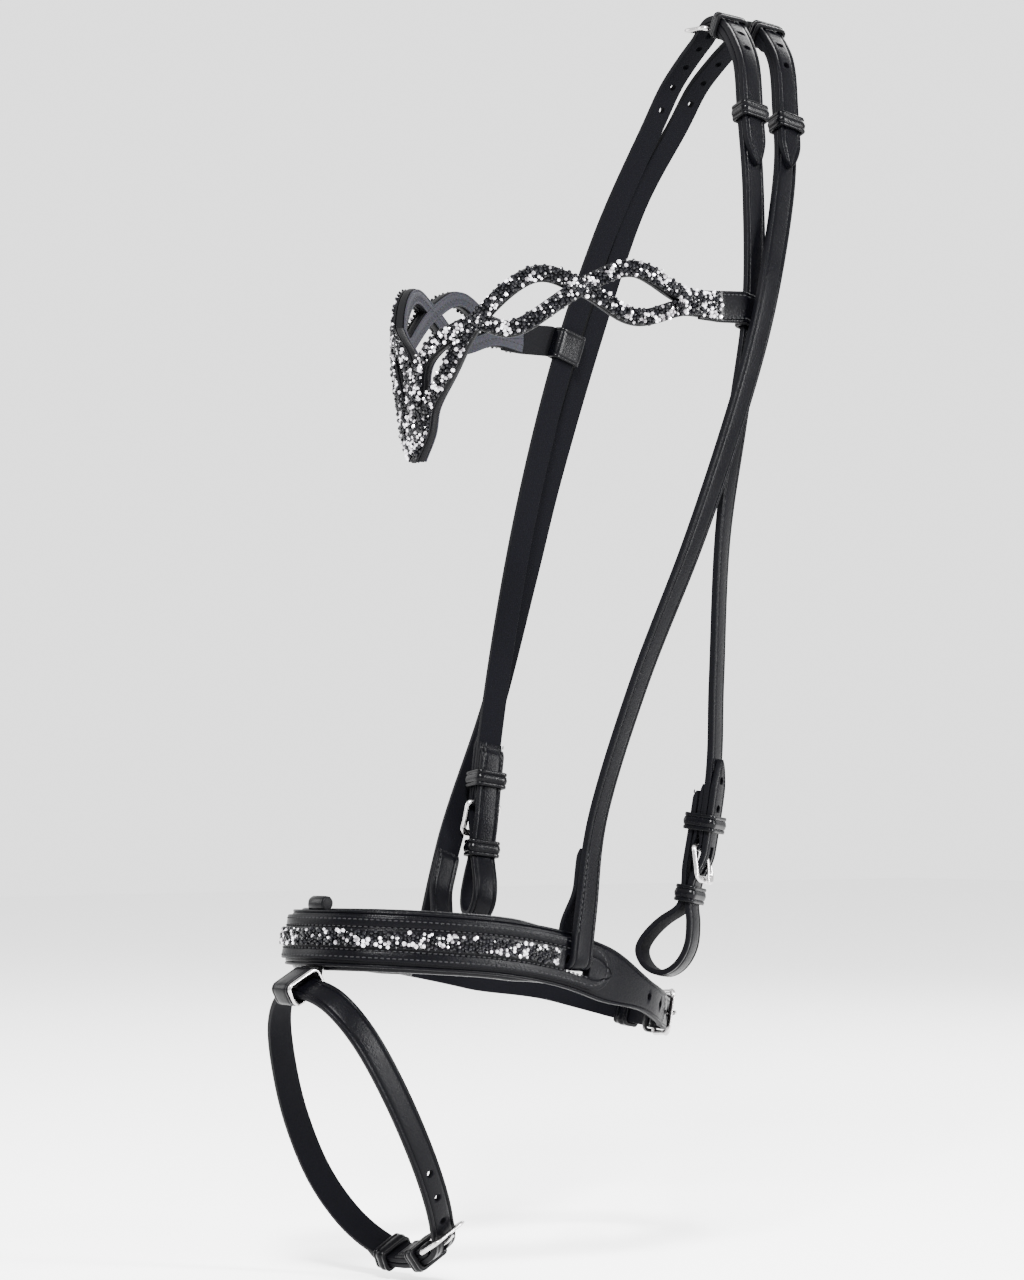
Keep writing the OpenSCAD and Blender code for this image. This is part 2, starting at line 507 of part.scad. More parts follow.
module flash_strap() color(leather) difference() {
    tip = JAW[1] + JAW_TIP;
    sweep(concat(reverse(fold(JAW_CHAPE)), layer(FLASH, to_tip(18, tip, 8), function (s) rise(JAW, s),
        pointed(flash_w, tip), flash_t)));
    notch(JAW_CHAPE);
    tongue_slit(JAW);
    holes(FLASH, pitched(JAW, -3, -1), 0, flash_t);
}

cheek_headstrap();
noseband_headstrap();
near_cheekpiece();
near_noseband_hanger();
near_bit_billet();
far_bit_billet();
buckle(CROWN_FRONT);  // crown_front_buckle
buckle(CROWN_REAR);  // crown_rear_buckle
buckle(NEAR_BIT);  // near_bit_buckle
buckle(FAR_BIT);  // far_bit_buckle
buckle(CHIN);  // chin_buckle
buckle(JAW);  // flash_buckle
tongue(CROWN_FRONT);  // crown_front_tongue
tongue(CROWN_REAR);  // crown_rear_tongue
tongue(NEAR_BIT);  // near_bit_tongue
tongue(FAR_BIT);  // far_bit_tongue
tongue(CHIN);  // chin_tongue
tongue(JAW);  // flash_tongue
fixed_keeper(CROWN_FRONT);  // crown_front_keeper
fixed_keeper(CROWN_REAR);  // crown_rear_keeper
bit_keeper(NEAR_BIT);  // near_bit_keeper
bit_keeper(FAR_BIT);  // far_bit_keeper
fixed_keeper(CHIN);  // chin_keeper
fixed_keeper(JAW);  // flash_keeper
runner(CROWN_FRONT, FRONT_RUNNER, -strap_t / 2);  // crown_front_runner
runner(CROWN_REAR, REAR_RUNNER, -strap_t / 2);  // crown_rear_runner
runner(NEAR_BIT, BIT_RUNNER, INNER_LIFT - billet_t / 2);  // near_bit_runner
runner(FAR_BIT, BIT_RUNNER, INNER_LIFT - billet_t / 2);  // far_bit_runner
runner(CHIN, CHIN_RUNNER, -band_t / 2);  // chin_runner
runner(JAW, JAW_RUNNER, -flash_t / 2);  // flash_runner
browband_base();
browband_crystals();
browband_lining();
near_browband_loop();
far_browband_loop();
noseband_strap();
noseband_overlay();
noseband_crystals();
noseband_padding();
flash_tab();
flash_wire_ring();
flash_strap();
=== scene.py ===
# %% [markdown]
# # Snaffle bridle
# The bridle is a set of flat leather straps, steel buckles and two rows of set stones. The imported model
# gives the bodies and the CAD shapes; this lesson makes the visible leather, steel and stones around them.

import bpy
import mathutils
import numpy as np
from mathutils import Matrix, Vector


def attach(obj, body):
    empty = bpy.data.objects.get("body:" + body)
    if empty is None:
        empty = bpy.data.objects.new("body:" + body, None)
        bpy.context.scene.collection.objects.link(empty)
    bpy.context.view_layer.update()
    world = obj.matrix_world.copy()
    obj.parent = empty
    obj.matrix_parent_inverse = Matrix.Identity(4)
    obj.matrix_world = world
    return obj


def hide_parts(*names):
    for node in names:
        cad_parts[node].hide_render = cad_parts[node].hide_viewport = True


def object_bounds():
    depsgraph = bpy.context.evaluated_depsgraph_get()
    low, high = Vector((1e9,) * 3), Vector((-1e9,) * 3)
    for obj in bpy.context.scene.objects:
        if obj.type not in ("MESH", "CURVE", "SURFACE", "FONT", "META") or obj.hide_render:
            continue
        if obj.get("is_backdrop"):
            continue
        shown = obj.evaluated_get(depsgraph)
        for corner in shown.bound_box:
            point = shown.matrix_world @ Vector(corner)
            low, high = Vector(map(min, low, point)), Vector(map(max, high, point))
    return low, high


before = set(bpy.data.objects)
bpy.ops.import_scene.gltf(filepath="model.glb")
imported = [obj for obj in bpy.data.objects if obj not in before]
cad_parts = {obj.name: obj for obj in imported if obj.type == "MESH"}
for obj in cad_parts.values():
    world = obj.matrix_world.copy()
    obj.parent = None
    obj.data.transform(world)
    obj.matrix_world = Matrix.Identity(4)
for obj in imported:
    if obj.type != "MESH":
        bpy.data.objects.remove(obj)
cad_low, cad_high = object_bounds()
MM = 0.001
rng = np.random.default_rng(7)
print("CAD box in mm:", [round(v / MM) for v in (*cad_low, *cad_high)])

# %% [markdown]
# ## Sizes
# The bridle's own sizes, in millimetres, as in the CAD model. Each strap's middle line goes through a few
# points: x, y, z, and the turn of its face. The x axis points to the horse's near side, and y to its tail.

# %% Sizes and control points
STRAP_W, STRAP_T, BILLET_T = 14.0, 3.5, 3.0
HOLE_PITCH, HOLE_D = 15.0, 4.0
WIRE_D, BUCKLE_LEN, TONGUE_D = 3.0, 17.0, 2.4
WRAP_T, FOLD_T, FOLD_LEN = 1.4, 2.0, 34.0
KEEPER_LEN, KEEPER_T, KEEPER_GAP = 9.0, 1.8, 0.6
LAYER_GAP, FOLD_SLIT = 0.3, 0.1
STRAND_W, BROW_T, CRUST_W = 9.0, 4.0, 7.4
BAND_H, BAND_T, CHIN_W = 29.0, 3.5, 17.0
OVERLAY_H, OVERLAY_T, PADDING_T = 23.0, 2.0, 5.0
FLASH_W, FLASH_T = 15.0, 3.0

FRONT_POINTS = [
    (-68, -131, -482, -14), (-74.5, -117, -400, -10), (-84, -88, -290, 0), (-85, -58, -190, 0),
    (-73, -35, -112, 0), (-54, -15, -50, 0), (-39, -7, -19, 0), (0, -10, 2, 0),
    (40, -28, -23, 0), (54, -36, -60, 0), (66, -43, -108, 3), (82, -58, -172, 5),
    (87, -74, -235, 11), (86, -84, -300, 24), (81, -84, -375, 25), (74, -81, -430, 25),
    (68, -92, -505, 25)]
REAR_POINTS = [
    (-69.4, -169, -530, -2), (-69.9, -162, -505, -3), (-76, -148, -472, -6), (-85, -131, -443, -8),
    (-91.5, -102, -385, -4), (-95, -75, -310, 0), (-94, -57, -250, 0), (-87, -34, -172, 0),
    (-70, -15, -95, 0), (-54, 5, -46, 0), (-38, 12, -19, 0), (0, 14, 2, 0), (38, 0, -20, 0),
    (52, -8, -55, 0), (64, -18, -92, 1), (87, -48, -148, 4), (94, -66, -192, 6),
    (95, -87, -245, 8), (93, -112, -305, 11), (83, -139, -375, 16), (73, -159, -445, 16),
    (69.8, -165, -495, 6), (69.2, -169, -530, 2)]
CHIN_POINTS = [(47, -96, -549), (21, -74, -555), (-4, -58, -556), (-30, -51, -555), (-54, -64, -549),
    (-64, -95, -540), (-64, -130, -531)]
NOSE_POINTS = CHIN_POINTS + [
    (-63, -168, -523), (-61, -208, -516), (-52, -249, -512), (-32, -281, -510),
    (0, -291, -509), (32, -281, -509), (52, -249, -511), (61, -208, -515), (63, -168, -523),
    (60, -128, -537)] + CHIN_POINTS
NOSE_TILT = np.radians(11)
FLASH_TOP, FLASH_SLANT = np.array([0, -301, -538.0]), np.radians(29)
JAW_POINTS = [(38, 135), (24, 150), (0, 158), (-25, 157), (-47, 142), (-58, 115), (-55, 80)]
FLASH_ROUTE = JAW_POINTS + [
    (-43, 46), (-26, 16), (-4, -3), (16, -4), (34, 4), (46, 26), (50, 62), (47, 103)] + JAW_POINTS
NEAR_LOOP = [(-6.2, -14), (-4.9, -5), (-4.7, 4), (-6.8, 9), (-15, 16), (-22, 25), (-25, 34), (-19, 42),
    (-9, 44), (-1, 38), (3, 27), (1.8, 14), (-0.8, 5), (-1, -5)]
FAR_LOOP = [(-6.2, -14), (-4.9, -5), (-4.7, 4), (-7, 10), (-11, 20), (-11, 30), (-4, 37), (4, 34),
    (6, 25), (3, 14), (-0.8, 5), (-1, -5)]
BROW_HALF, BROW_REACH, BROW_BACK = 88.0, 165.0, -58.0
RISING_STRAND = [(80, -170), (72, -170), (61, -157), (50, -167), (34, -190), (23, -187), (11, -196),
    (3, -208), (1.5, -228), (0, -254)]
FALLING_STRAND = [(80, -178), (72, -176), (61, -183), (50, -169), (38, -162), (23, -186), (14, -212),
    (7, -230), (5, -244), (0, -257)]

# %% [markdown]
# ## Routes
# A smooth curve through the points is enough for every strap. A strap never twists freely, so each route
# also says which way is across the strap; the face's normal is square to both.

# %% Curves and routes
def unit(v):
    """v divided by its own length."""
    return v / np.linalg.norm(v, axis=-1, keepdims=True)


def curve(points, steps):
    """Catmull-Rom: between b and c, b + ((c-a)t + (2a-5b+4c-d)t^2 + (3b-a-3c+d)t^3) / 2."""
    p = np.asarray(points, float)
    wide = np.vstack([p[:1], p, p[-1:]])
    i = np.repeat(np.arange(len(p) - 1), steps)
    t = np.tile(np.arange(steps) / steps, len(p) - 1)[:, None]
    a, b, c, d = wide[i], wide[i + 1], wide[i + 2], wide[i + 3]
    inside = b + ((c - a) * t + (2 * a - 5 * b + 4 * c - d) * t**2 + (3 * b - a - 3 * c + d) * t**3) / 2
    return np.vstack([inside, p[-1:]])


class Route:
    """A curve with its distance s from the zero point, its travel direction and its face's normal."""

    STEPS = 24
    REACH = 3.0

    def __init__(self, points, zero, cross=None):
        c = curve(points, self.STEPS)
        self.xyz = c[:, :3]
        s = np.concatenate([[0], np.cumsum(np.linalg.norm(np.diff(self.xyz, axis=0), axis=1))])
        self.s = s - s[zero * self.STEPS]
        self.turn = c[:, 3] if c.shape[1] > 3 else None
        self.cross = cross

    def reach(self, index):
        return self.s[int(round(index * self.STEPS))]

    def place(self, s):
        return np.stack([np.interp(s, self.s, self.xyz[:, k]) for k in range(3)], -1)

    def frame(self, s):
        s = np.asarray(s, float)
        travel = unit(self.place(s + self.REACH) - self.place(s - self.REACH))
        if self.cross is None:
            a = np.radians(np.interp(s, self.s, self.turn))
            cross = np.stack([-np.sin(a), np.cos(a), 0 * a], -1)
        else:
            cross = np.broadcast_to(self.cross, travel.shape)
        return self.place(s), travel, unit(np.cross(travel, cross))


FRONT = Route(FRONT_POINTS, 7)
REAR = Route(REAR_POINTS, 11)
NOSE = Route(NOSE_POINTS, 1, np.array([0, np.sin(NOSE_TILT), np.cos(NOSE_TILT)]))
flash_down = np.array([0, np.sin(FLASH_SLANT), -np.cos(FLASH_SLANT)])
flash_across = np.array([0, np.cos(FLASH_SLANT), np.sin(FLASH_SLANT)])
FLASH = Route([FLASH_TOP + [x, 0, 0] + flash_down * q for x, q in FLASH_ROUTE], 1, flash_across)
FAR_HANGER, NOSE_FRONT, NEAR_HANGER, CHIN_HEEL = [NOSE.reach(i) for i in (7, 11, 15, 18)]
print("front strap", round(FRONT.s[-1] - FRONT.s[0]), "mm, rear strap", round(REAR.s[-1] - REAR.s[0]), "mm")

# %% [markdown]
# ## Stations
# A strap is a row of stations: point, travel, normal, width and thickness, eleven numbers each. Layers lie
# above or below their route, a fold turns around a buckle's bar, and a loop is drawn in one frame.

# %% Layers, turns and loops
def smooth(s, a, b):
    """0 before a, 1 after b, and 3u^2 - 2u^3 between them."""
    u = np.clip((s - a) / (b - a), 0, 1)
    return u * u * (3 - 2 * u)


def run(a, b, step=2.0):
    """Distances from a to b, about step apart."""
    return np.linspace(a, b, max(2, int(abs(b - a) / step) + 1))


def layer(route, s, lift, w, t, way=1, face=1):
    """Stations along the route at the distances s, each lifted along its normal."""
    s = np.atleast_1d(np.asarray(s, float))
    point, travel, normal = route.frame(s)
    lift, w, t = [v(s) if callable(v) else np.full(len(s), float(v)) for v in (lift, w, t)]
    return np.column_stack([point + normal * lift[:, None], way * travel, face * normal, w, t])


def reverse(stations):
    back = stations[::-1].copy()
    back[:, 3:6] *= -1
    return back


def turn(route, s, way, radius, lift, w, t):
    """Half a circle at the end of a layer, towards the strap's inner face."""
    point, travel, normal = route.frame(s)
    a = np.radians(np.linspace(12, 168, 14))[:, None]
    out = normal * np.cos(a) + way * travel * np.sin(a)
    size = np.tile([w, t], (len(a), 1))
    heading = way * travel * np.cos(a) - normal * np.sin(a)
    return np.column_stack([point + normal * (lift - radius) + out * radius, heading, out, size])


def loop(point, travel, normal, outline, w, t):
    """A curve in the plane of a frame: its first number goes along the normal, its second along travel."""
    c = curve(outline, 8)
    v = np.gradient(c, axis=0)
    heading = unit(normal * v[:, :1] + travel * v[:, 1:])
    place = point + normal * c[:, :1] + travel * c[:, 1:]
    size = np.tile([w, t], (len(c), 1))
    return np.column_stack([place, heading, np.cross(heading, np.cross(travel, normal)), size])


def even(stations, step=1.5, passes=2):
    """Stations at equal distances, with every column averaged over its neighbours passes times."""
    d = np.concatenate([[0], np.cumsum(np.linalg.norm(np.diff(stations[:, :3], axis=0), axis=1))])
    keep = np.concatenate([[True], np.diff(d) > 1e-6])
    new = np.linspace(0, d[-1], max(3, int(d[-1] / step)))
    out = np.stack([np.interp(new, d[keep], stations[keep, k]) for k in range(11)], -1)
    for _ in range(passes):
        out[1:-1] = (out[:-2] + 2 * out[1:-1] + out[2:]) / 4
    out[:, 3:6], out[:, 6:9] = unit(out[:, 3:6]), unit(out[:, 6:9])
    return out


# %% [markdown]
# ## Buckle places
# A buckle holds a chape, the end that is folded round its heel bar, and a billet, the end that passes
# through. The same few numbers then place the frame, the tongue, both keepers and the layers of leather.

# %% The six buckles
class Buckle:
    """Heel bar at distance h on a route; way points to the chape; low is the billet's lift below it."""

    def __init__(self, route, h, way, w, chape_t, billet_t, low=0.0):
        self.route, self.h, self.way, self.w = route, h, way, w
        self.chape_t, self.billet_t, self.low = chape_t, billet_t, low
        self.top = chape_t / 2 + LAYER_GAP + billet_t / 2
        self.skived = (chape_t - WRAP_T) / 2
        self.wrap_r = WIRE_D / 2 + LAYER_GAP / 2 + WRAP_T / 2
        self.heel_z = self.skived - self.wrap_r
        self.fold_lift = -chape_t / 2 - FOLD_SLIT - FOLD_T / 2
        point, travel, normal = route.frame(h)
        self.along, self.out = way * travel, normal
        self.side = np.cross(self.along, self.out)
        self.heel = point + normal * self.heel_z
        s = h - way * BUCKLE_LEN
        point, travel, normal = route.frame(s)
        self.bar = point + normal * (self.rise(s) + billet_t / 2 + LAYER_GAP + WIRE_D * 0.9)

    def rise(self, s):
        return self.low + (self.top - self.low) * smooth((s - self.h) * self.way, -21, -3)

    def fold(self):
        """The chape: thinned, turned around the heel bar, and stitched back under itself."""
        r, h, k, w = self.route, self.h, self.way, self.w
        return np.vstack([
            layer(r, [h + 9 * k], 0, w, self.chape_t, -k),
            layer(r, [h + 3 * k, h], self.skived, w, WRAP_T, -k),
            turn(r, h, -k, self.wrap_r, self.skived, w, WRAP_T),
            layer(r, [h], self.skived - 2 * self.wrap_r, w, WRAP_T, k, -1),
            layer(r, run(h + 6 * k, h + (FOLD_LEN - 3) * k), self.fold_lift, w, FOLD_T, k, -1),
            layer(r, [h + FOLD_LEN * k], self.fold_lift + 0.5, w * 0.96, FOLD_T * 0.4, k, -1)])


BIT_TAIL, PINCH = 42, 26
BUCKLES = {
    "crown_front": Buckle(FRONT, 0, 1, STRAP_W, STRAP_T, STRAP_T),
    "crown_rear": Buckle(REAR, 7, 1, STRAP_W, STRAP_T, STRAP_T),
    "near_bit": Buckle(FRONT, FRONT.s[-1] - BIT_TAIL, -1, STRAP_W, STRAP_T, BILLET_T, -1),
    "far_bit": Buckle(FRONT, FRONT.s[0] + BIT_TAIL, 1, STRAP_W, STRAP_T, BILLET_T, -1),
    "chin": Buckle(NOSE, CHIN_HEEL, 1, CHIN_W, BAND_T, BAND_T),
    "flash": Buckle(FLASH, FLASH.reach(16), 1, FLASH_W, FLASH_T, FLASH_T)}
CHIN_CHAPE = Buckle(NOSE, 0, 1, CHIN_W, BAND_T, BAND_T)
JAW_CHAPE = Buckle(FLASH, 0, 1, FLASH_W, FLASH_T, FLASH_T)
BODY = {"crown_front": "headstall", "crown_rear": "headstall", "near_bit": "headstall",
    "far_bit": "headstall", "chin": "noseband", "flash": "flash"}

# %% [markdown]
# ## Surfaces
# One function sweeps a profile along stations. A profile point is measured from the strap's edges, so the
# grooves keep their distance from the edge where a strap narrows to its tip. Two attributes go to the
# materials: the UV map, in metres along and around, and how much of the point is grain side.

# %% Meshes from arrays
def to_mesh(name, verts, faces, uv=None, grain=None, sharp=35.0):
    """A mesh object in metres from arrays in millimetres, with its faces turned outwards."""
    tri = np.concatenate([faces[:, [0, 1, 2]], faces[:, [0, 2, 3]]]) if faces.shape[1] == 4 else faces
    a, b, c = verts[tri[:, 0]], verts[tri[:, 1]], verts[tri[:, 2]]
    if np.einsum("ij,ij->i", a, np.cross(b, c)).sum() < 0:
        faces = faces[:, ::-1]
    rows = [tuple(dict.fromkeys(f)) for f in faces.tolist()]
    mesh = bpy.data.meshes.new(name)
    mesh.from_pydata(verts * MM, [], [r for r in rows if len(r) > 2])
    mesh.validate()
    mesh.shade_smooth()
    mesh.set_sharp_from_angle(angle=np.radians(sharp))
    if uv is not None:
        loops = np.empty(len(mesh.loops), np.int32)
        mesh.loops.foreach_get("vertex_index", loops)
        mesh.uv_layers.new(name="strap").data.foreach_set("uv", (uv[loops] * MM).ravel())
    if grain is not None:
        mesh.attributes.new("grain", "FLOAT", "POINT").data.foreach_set("value", grain)
    obj = bpy.data.objects.new(name, mesh)
    bpy.context.scene.collection.objects.link(obj)
    return obj


def grid_faces(rows, columns, closed):
    """Quads between neighbouring rows of a grid whose columns close into a ring."""
    i, j = np.meshgrid(np.arange(rows if closed else rows - 1), np.arange(columns), indexing="ij")
    i2, j2 = (i + 1) % rows, (j + 1) % columns
    corners = [i * columns + j, i * columns + j2, i2 * columns + j2, i2 * columns + j]
    return np.stack(corners, -1).reshape(-1, 4)


def sweep(name, stations, profile, closed=False, sharp=35.0):
    """point + across * (xr * w/2 + xo) + normal * (zr * t/2 + zo) for each station and profile point."""
    p, travel, normal, w, t = np.split(stations, [3, 6, 9, 10], axis=1)
    across = np.cross(normal, travel)
    xr, xo, zr, zo, side = profile.T
    shrink = np.clip(w / (2.4 * max(1e-6, np.abs(xo).max())), 0, 1)
    x = xr * w / 2 + xo * shrink
    z = zr * t / 2 + zo * np.clip(t / 3, 0, 1)
    verts = p[:, None] + across[:, None] * x[..., None] + normal[:, None] * z[..., None]
    n, m = x.shape
    along = np.concatenate([[0], np.cumsum(np.linalg.norm(np.diff(p, axis=0), axis=1))])
    ring = np.concatenate([[0], np.cumsum(np.hypot(np.diff(x[0]), np.diff(z[0])))])
    uv = np.stack(np.broadcast_arrays(along[:, None], ring[None]), -1).reshape(-1, 2)
    grain = np.tile(side, n)
    faces = grid_faces(n, m, closed)
    verts = verts.reshape(-1, 3)
    if not closed:
        ends = np.stack([verts[:m].mean(0), verts[-m:].mean(0)])
        k = np.arange(m)
        first = np.stack([(k + 1) % m, k, 0 * k + n * m, 0 * k + n * m], -1)
        middle = 0 * k + n * m + 1
        last = np.stack([(n - 1) * m + k, (n - 1) * m + (k + 1) % m, middle, middle], -1)
        verts = np.vstack([verts, ends])
        faces = np.vstack([faces, first, last])
        uv = np.vstack([uv, uv[[0, -1]]])
        grain = np.append(grain, [0.5, 0.5])
    return to_mesh(name, verts, faces, uv, grain.astype(np.float32), sharp)


def strap_profile(edge=0.7, groove_at=2.3, groove_w=0.55, groove_d=0.4, crown=0.2, inner=0.45):
    """Outer face from edge to edge with a groove near each edge and a slight crown; a plain inner face."""
    a = np.radians([0, 30, 60, 90])
    u = np.linspace(-1, 1, 7)
    d = np.concatenate([edge * (1 - np.cos(a)), groove_at + groove_w * u, [groove_at + groove_w + 1.2]])
    z = np.concatenate([-edge * (1 - np.sin(a)), -groove_d * np.cos(u * np.pi / 2) ** 2, [crown * 0.6]])
    if groove_d == 0:
        d, z = d[:4], z[:4]
    side = np.where(np.arange(len(d)) < 2, 0.5, 1.0)
    left = np.column_stack([-np.ones(len(d)), d, np.ones(len(d)), z, side])
    right = left[::-1] * [-1, -1, 1, 1, 1]
    top = np.array([[0, 0, 1, crown, 1]])
    di, zi = inner * (1 - np.cos(a)), inner * (1 - np.sin(a))
    low = np.column_stack([np.ones(4), -di, -np.ones(4), zi, np.array([0.5, 0.3, 0, 0])])
    middle = np.array([[0, 0, -1, 0, 0]])
    return np.vstack([left, top, right, low, middle, low[::-1] * [-1, -1, 1, 1, 1]])


def round_profile(count=20, grain=1.0):
    """An ellipse as wide as the strap and as thick as the strap."""
    a = np.linspace(0, 2 * np.pi, count, endpoint=False)
    return np.column_stack([np.cos(a), 0 * a, np.sin(a), 0 * a, 0 * a + grain])


GROOVED = strap_profile()
print("grooved profile has", len(GROOVED), "points")

# %% [markdown]
# ## Leather
# Bridle leather has two faces. The grain side is dyed, waxed and polished, so it shines softly over fine
# pores; the flesh side is matt and a little fibrous. One material shows both and mixes them by the mesh's
# own attribute, so a strap stays one piece.

# %% Node helpers and the leather materials
def add(tree, kind, **settings):
    """A new node with its settings; a number or colour goes to the socket of that name."""
    node = tree.nodes.new(kind)
    for key, value in settings.items():
        if hasattr(node, key):
            setattr(node, key, value)
        else:
            node.inputs[key.replace("_", " ").title()].default_value = value
    return node


def new_material(name):
    mat = bpy.data.materials.new(name)
    mat.use_nodes = True
    tree = mat.node_tree
    return mat, tree, tree.nodes["Principled BSDF"], tree.links.new


def ramp_between(tree, link, source, low, high, a, b):
    """source from low..high mapped to a..b."""
    node = add(tree, "ShaderNodeMapRange")
    for key, value in (("From Min", low), ("From Max", high), ("To Min", a), ("To Max", b)):
        node.inputs[key].default_value = value
    link(source, node.inputs["Value"])
    return node.outputs["Result"]


def leather(name, grain_color, flesh_color, grain_rough=0.42, pores=0.35, shine=0.035):
    """Dyed leather: fine pores and a slow wax sheen on the grain side, matt fibres on the flesh side."""
    mat, tree, shader, link = new_material(name)
    place = add(tree, "ShaderNodeTexCoord").outputs["Object"]
    side = add(tree, "ShaderNodeAttribute", attribute_name="grain").outputs["Fac"]
    pore = add(tree, "ShaderNodeTexVoronoi")
    pore.inputs["Scale"].default_value = 1500
    fine = add(tree, "ShaderNodeTexNoise")
    fine.inputs["Scale"].default_value = 700
    fine.inputs["Detail"].default_value = 5
    slow = add(tree, "ShaderNodeTexNoise")
    slow.inputs["Scale"].default_value = 60
    slow.inputs["Detail"].default_value = 3
    for texture in (pore, fine, slow):
        link(place, texture.inputs["Vector"])
    worn = add(tree, "ShaderNodeMix", data_type="RGBA", blend_type="MULTIPLY")
    worn.inputs["Factor"].default_value = 0.6
    shade = add(tree, "ShaderNodeMix", data_type="RGBA")
    shade.inputs[6].default_value = (*flesh_color, 1)
    shade.inputs[7].default_value = (*grain_color, 1)
    link(side, shade.inputs[0])
    link(shade.outputs[2], worn.inputs[6])
    link(fine.outputs["Color"], worn.inputs[7])
    link(worn.outputs[2], shader.inputs["Base Color"])
    grain = ramp_between(tree, link, slow.outputs["Fac"], 0.3, 0.7, grain_rough - 0.06, grain_rough + 0.06)
    rough = add(tree, "ShaderNodeMix")
    rough.inputs["A"].default_value = 0.85
    link(side, rough.inputs["Factor"])
    link(grain, rough.inputs["B"])
    link(rough.outputs["Result"], shader.inputs["Roughness"])
    height = add(tree, "ShaderNodeMath", operation="MULTIPLY_ADD")
    link(pore.outputs["Distance"], height.inputs[0])
    height.inputs[1].default_value = 0.5
    link(fine.outputs["Fac"], height.inputs[2])
    bump = add(tree, "ShaderNodeBump")
    bump.inputs["Strength"].default_value = pores
    bump.inputs["Distance"].default_value = 0.0003
    link(height.outputs["Value"], bump.inputs["Height"])
    link(bump.outputs["Normal"], shader.inputs["Normal"])
    shader.inputs["Specular IOR Level"].default_value = shine
    return mat


BRIDLE_LEATHER = leather("bridle_leather", (0.0012, 0.0012, 0.0018), (0.001, 0.001, 0.0018), 0.32, 0.45)
KEEPER_LEATHER = leather("keeper_leather", (0.001, 0.001, 0.0015), (0.001, 0.001, 0.0015), 0.24, 0.25, 0.06)
PAD_LEATHER = leather("pad_leather", (0.0012, 0.0012, 0.0018), (0.0012, 0.0012, 0.0018), 0.3, 0.6, 0.05)
LINING_LEATHER = leather("lining_leather", (0.016, 0.016, 0.02), (0.016, 0.016, 0.02), 0.6, 0.4)
THREAD = leather("waxed_thread", (0.005, 0.005, 0.006), (0.005, 0.005, 0.006), 0.35, 0.5, 0.2)

# %% [markdown]
# ## Steel and stones
# The buckles are polished stainless steel with faint brushing. The stones are cut glass: jet ones only
# glint, and clear ones have a mirror back, so they behave like small bright facets.

# %% Steel and stone materials
def steel(name):
    mat, tree, shader, link = new_material(name)
    place = add(tree, "ShaderNodeTexCoord").outputs["Object"]
    brush = add(tree, "ShaderNodeTexNoise")
    brush.inputs["Scale"].default_value = 900
    link(place, brush.inputs["Vector"])
    link(ramp_between(tree, link, brush.outputs["Fac"], 0.3, 0.7, 0.16, 0.26), shader.inputs["Roughness"])
    tint = add(tree, "ShaderNodeTexNoise")
    tint.inputs["Scale"].default_value = 120
    link(place, tint.inputs["Vector"])
    color = add(tree, "ShaderNodeMix", data_type="RGBA")
    color.inputs[6].default_value = (0.3, 0.29, 0.29, 1)
    color.inputs[7].default_value = (0.42, 0.41, 0.41, 1)
    link(tint.outputs["Fac"], color.inputs[0])
    link(color.outputs[2], shader.inputs["Base Color"])
    shader.inputs["Metallic"].default_value = 1.0
    return mat


def stone(name, dark, light, metallic, rough):
    """Cut glass whose colour drifts a little from stone to stone."""
    mat, tree, shader, link = new_material(name)
    place = add(tree, "ShaderNodeTexCoord").outputs["Object"]
    drift = add(tree, "ShaderNodeTexNoise")
    drift.inputs["Scale"].default_value = 260
    link(place, drift.inputs["Vector"])
    color = add(tree, "ShaderNodeMix", data_type="RGBA")
    color.inputs[6].default_value = (*dark, 1)
    color.inputs[7].default_value = (*light, 1)
    link(ramp_between(tree, link, drift.outputs["Fac"], 0.35, 0.65, 0, 1), color.inputs[0])
    link(color.outputs[2], shader.inputs["Base Color"])
    shader.inputs["Metallic"].default_value = metallic
    shader.inputs["Roughness"].default_value = rough
    shader.inputs["Specular IOR Level"].default_value = 0.16
    return mat


STEEL = steel("stainless_steel")
JET = stone("jet_stone", (0.001, 0.001, 0.0015), (0.003, 0.003, 0.004), 0.0, 0.08)
CLEAR = stone("clear_stone", (0.12, 0.11, 0.12), (0.72, 0.7, 0.74), 0.6, 0.12)

# %% [markdown]
# ## Finishing a piece
# Every piece gets its material, rides on its body, and stands for the CAD nodes that it shows in detail.

# %% Finishing helper and cutting
def finish(obj, body, slot, material, *nodes):
    for m in material if isinstance(material, (list, tuple)) else [material]:
        obj.data.materials.append(m)
    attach(obj, body)
    if nodes:
        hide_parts(*nodes)
    return obj


def drill(obj, cutters):
    """Cuts closed solids, given as (vertices, faces), out of obj, all in one exact boolean."""
    if not cutters:
        return obj
    verts, faces, start = [], [], 0
    for v, f in cutters:
        verts.append(v)
        faces += [[i + start for i in face] for face in f]
        start += len(v)
    mesh = bpy.data.meshes.new("cut")
    mesh.from_pydata(np.vstack(verts) * MM, [], faces)
    tool = bpy.data.objects.new("cut", mesh)
    bpy.context.scene.collection.objects.link(tool)
    mod = obj.modifiers.new("cut", "BOOLEAN")
    mod.operation, mod.solver, mod.object = "DIFFERENCE", "EXACT", tool
    bpy.context.view_layer.update()
    done = bpy.data.meshes.new_from_object(obj.evaluated_get(bpy.context.evaluated_depsgraph_get()))
    obj.modifiers.clear()
    obj.data = done
    done.set_sharp_from_angle(angle=np.radians(35))
    bpy.data.objects.remove(tool)
    return obj


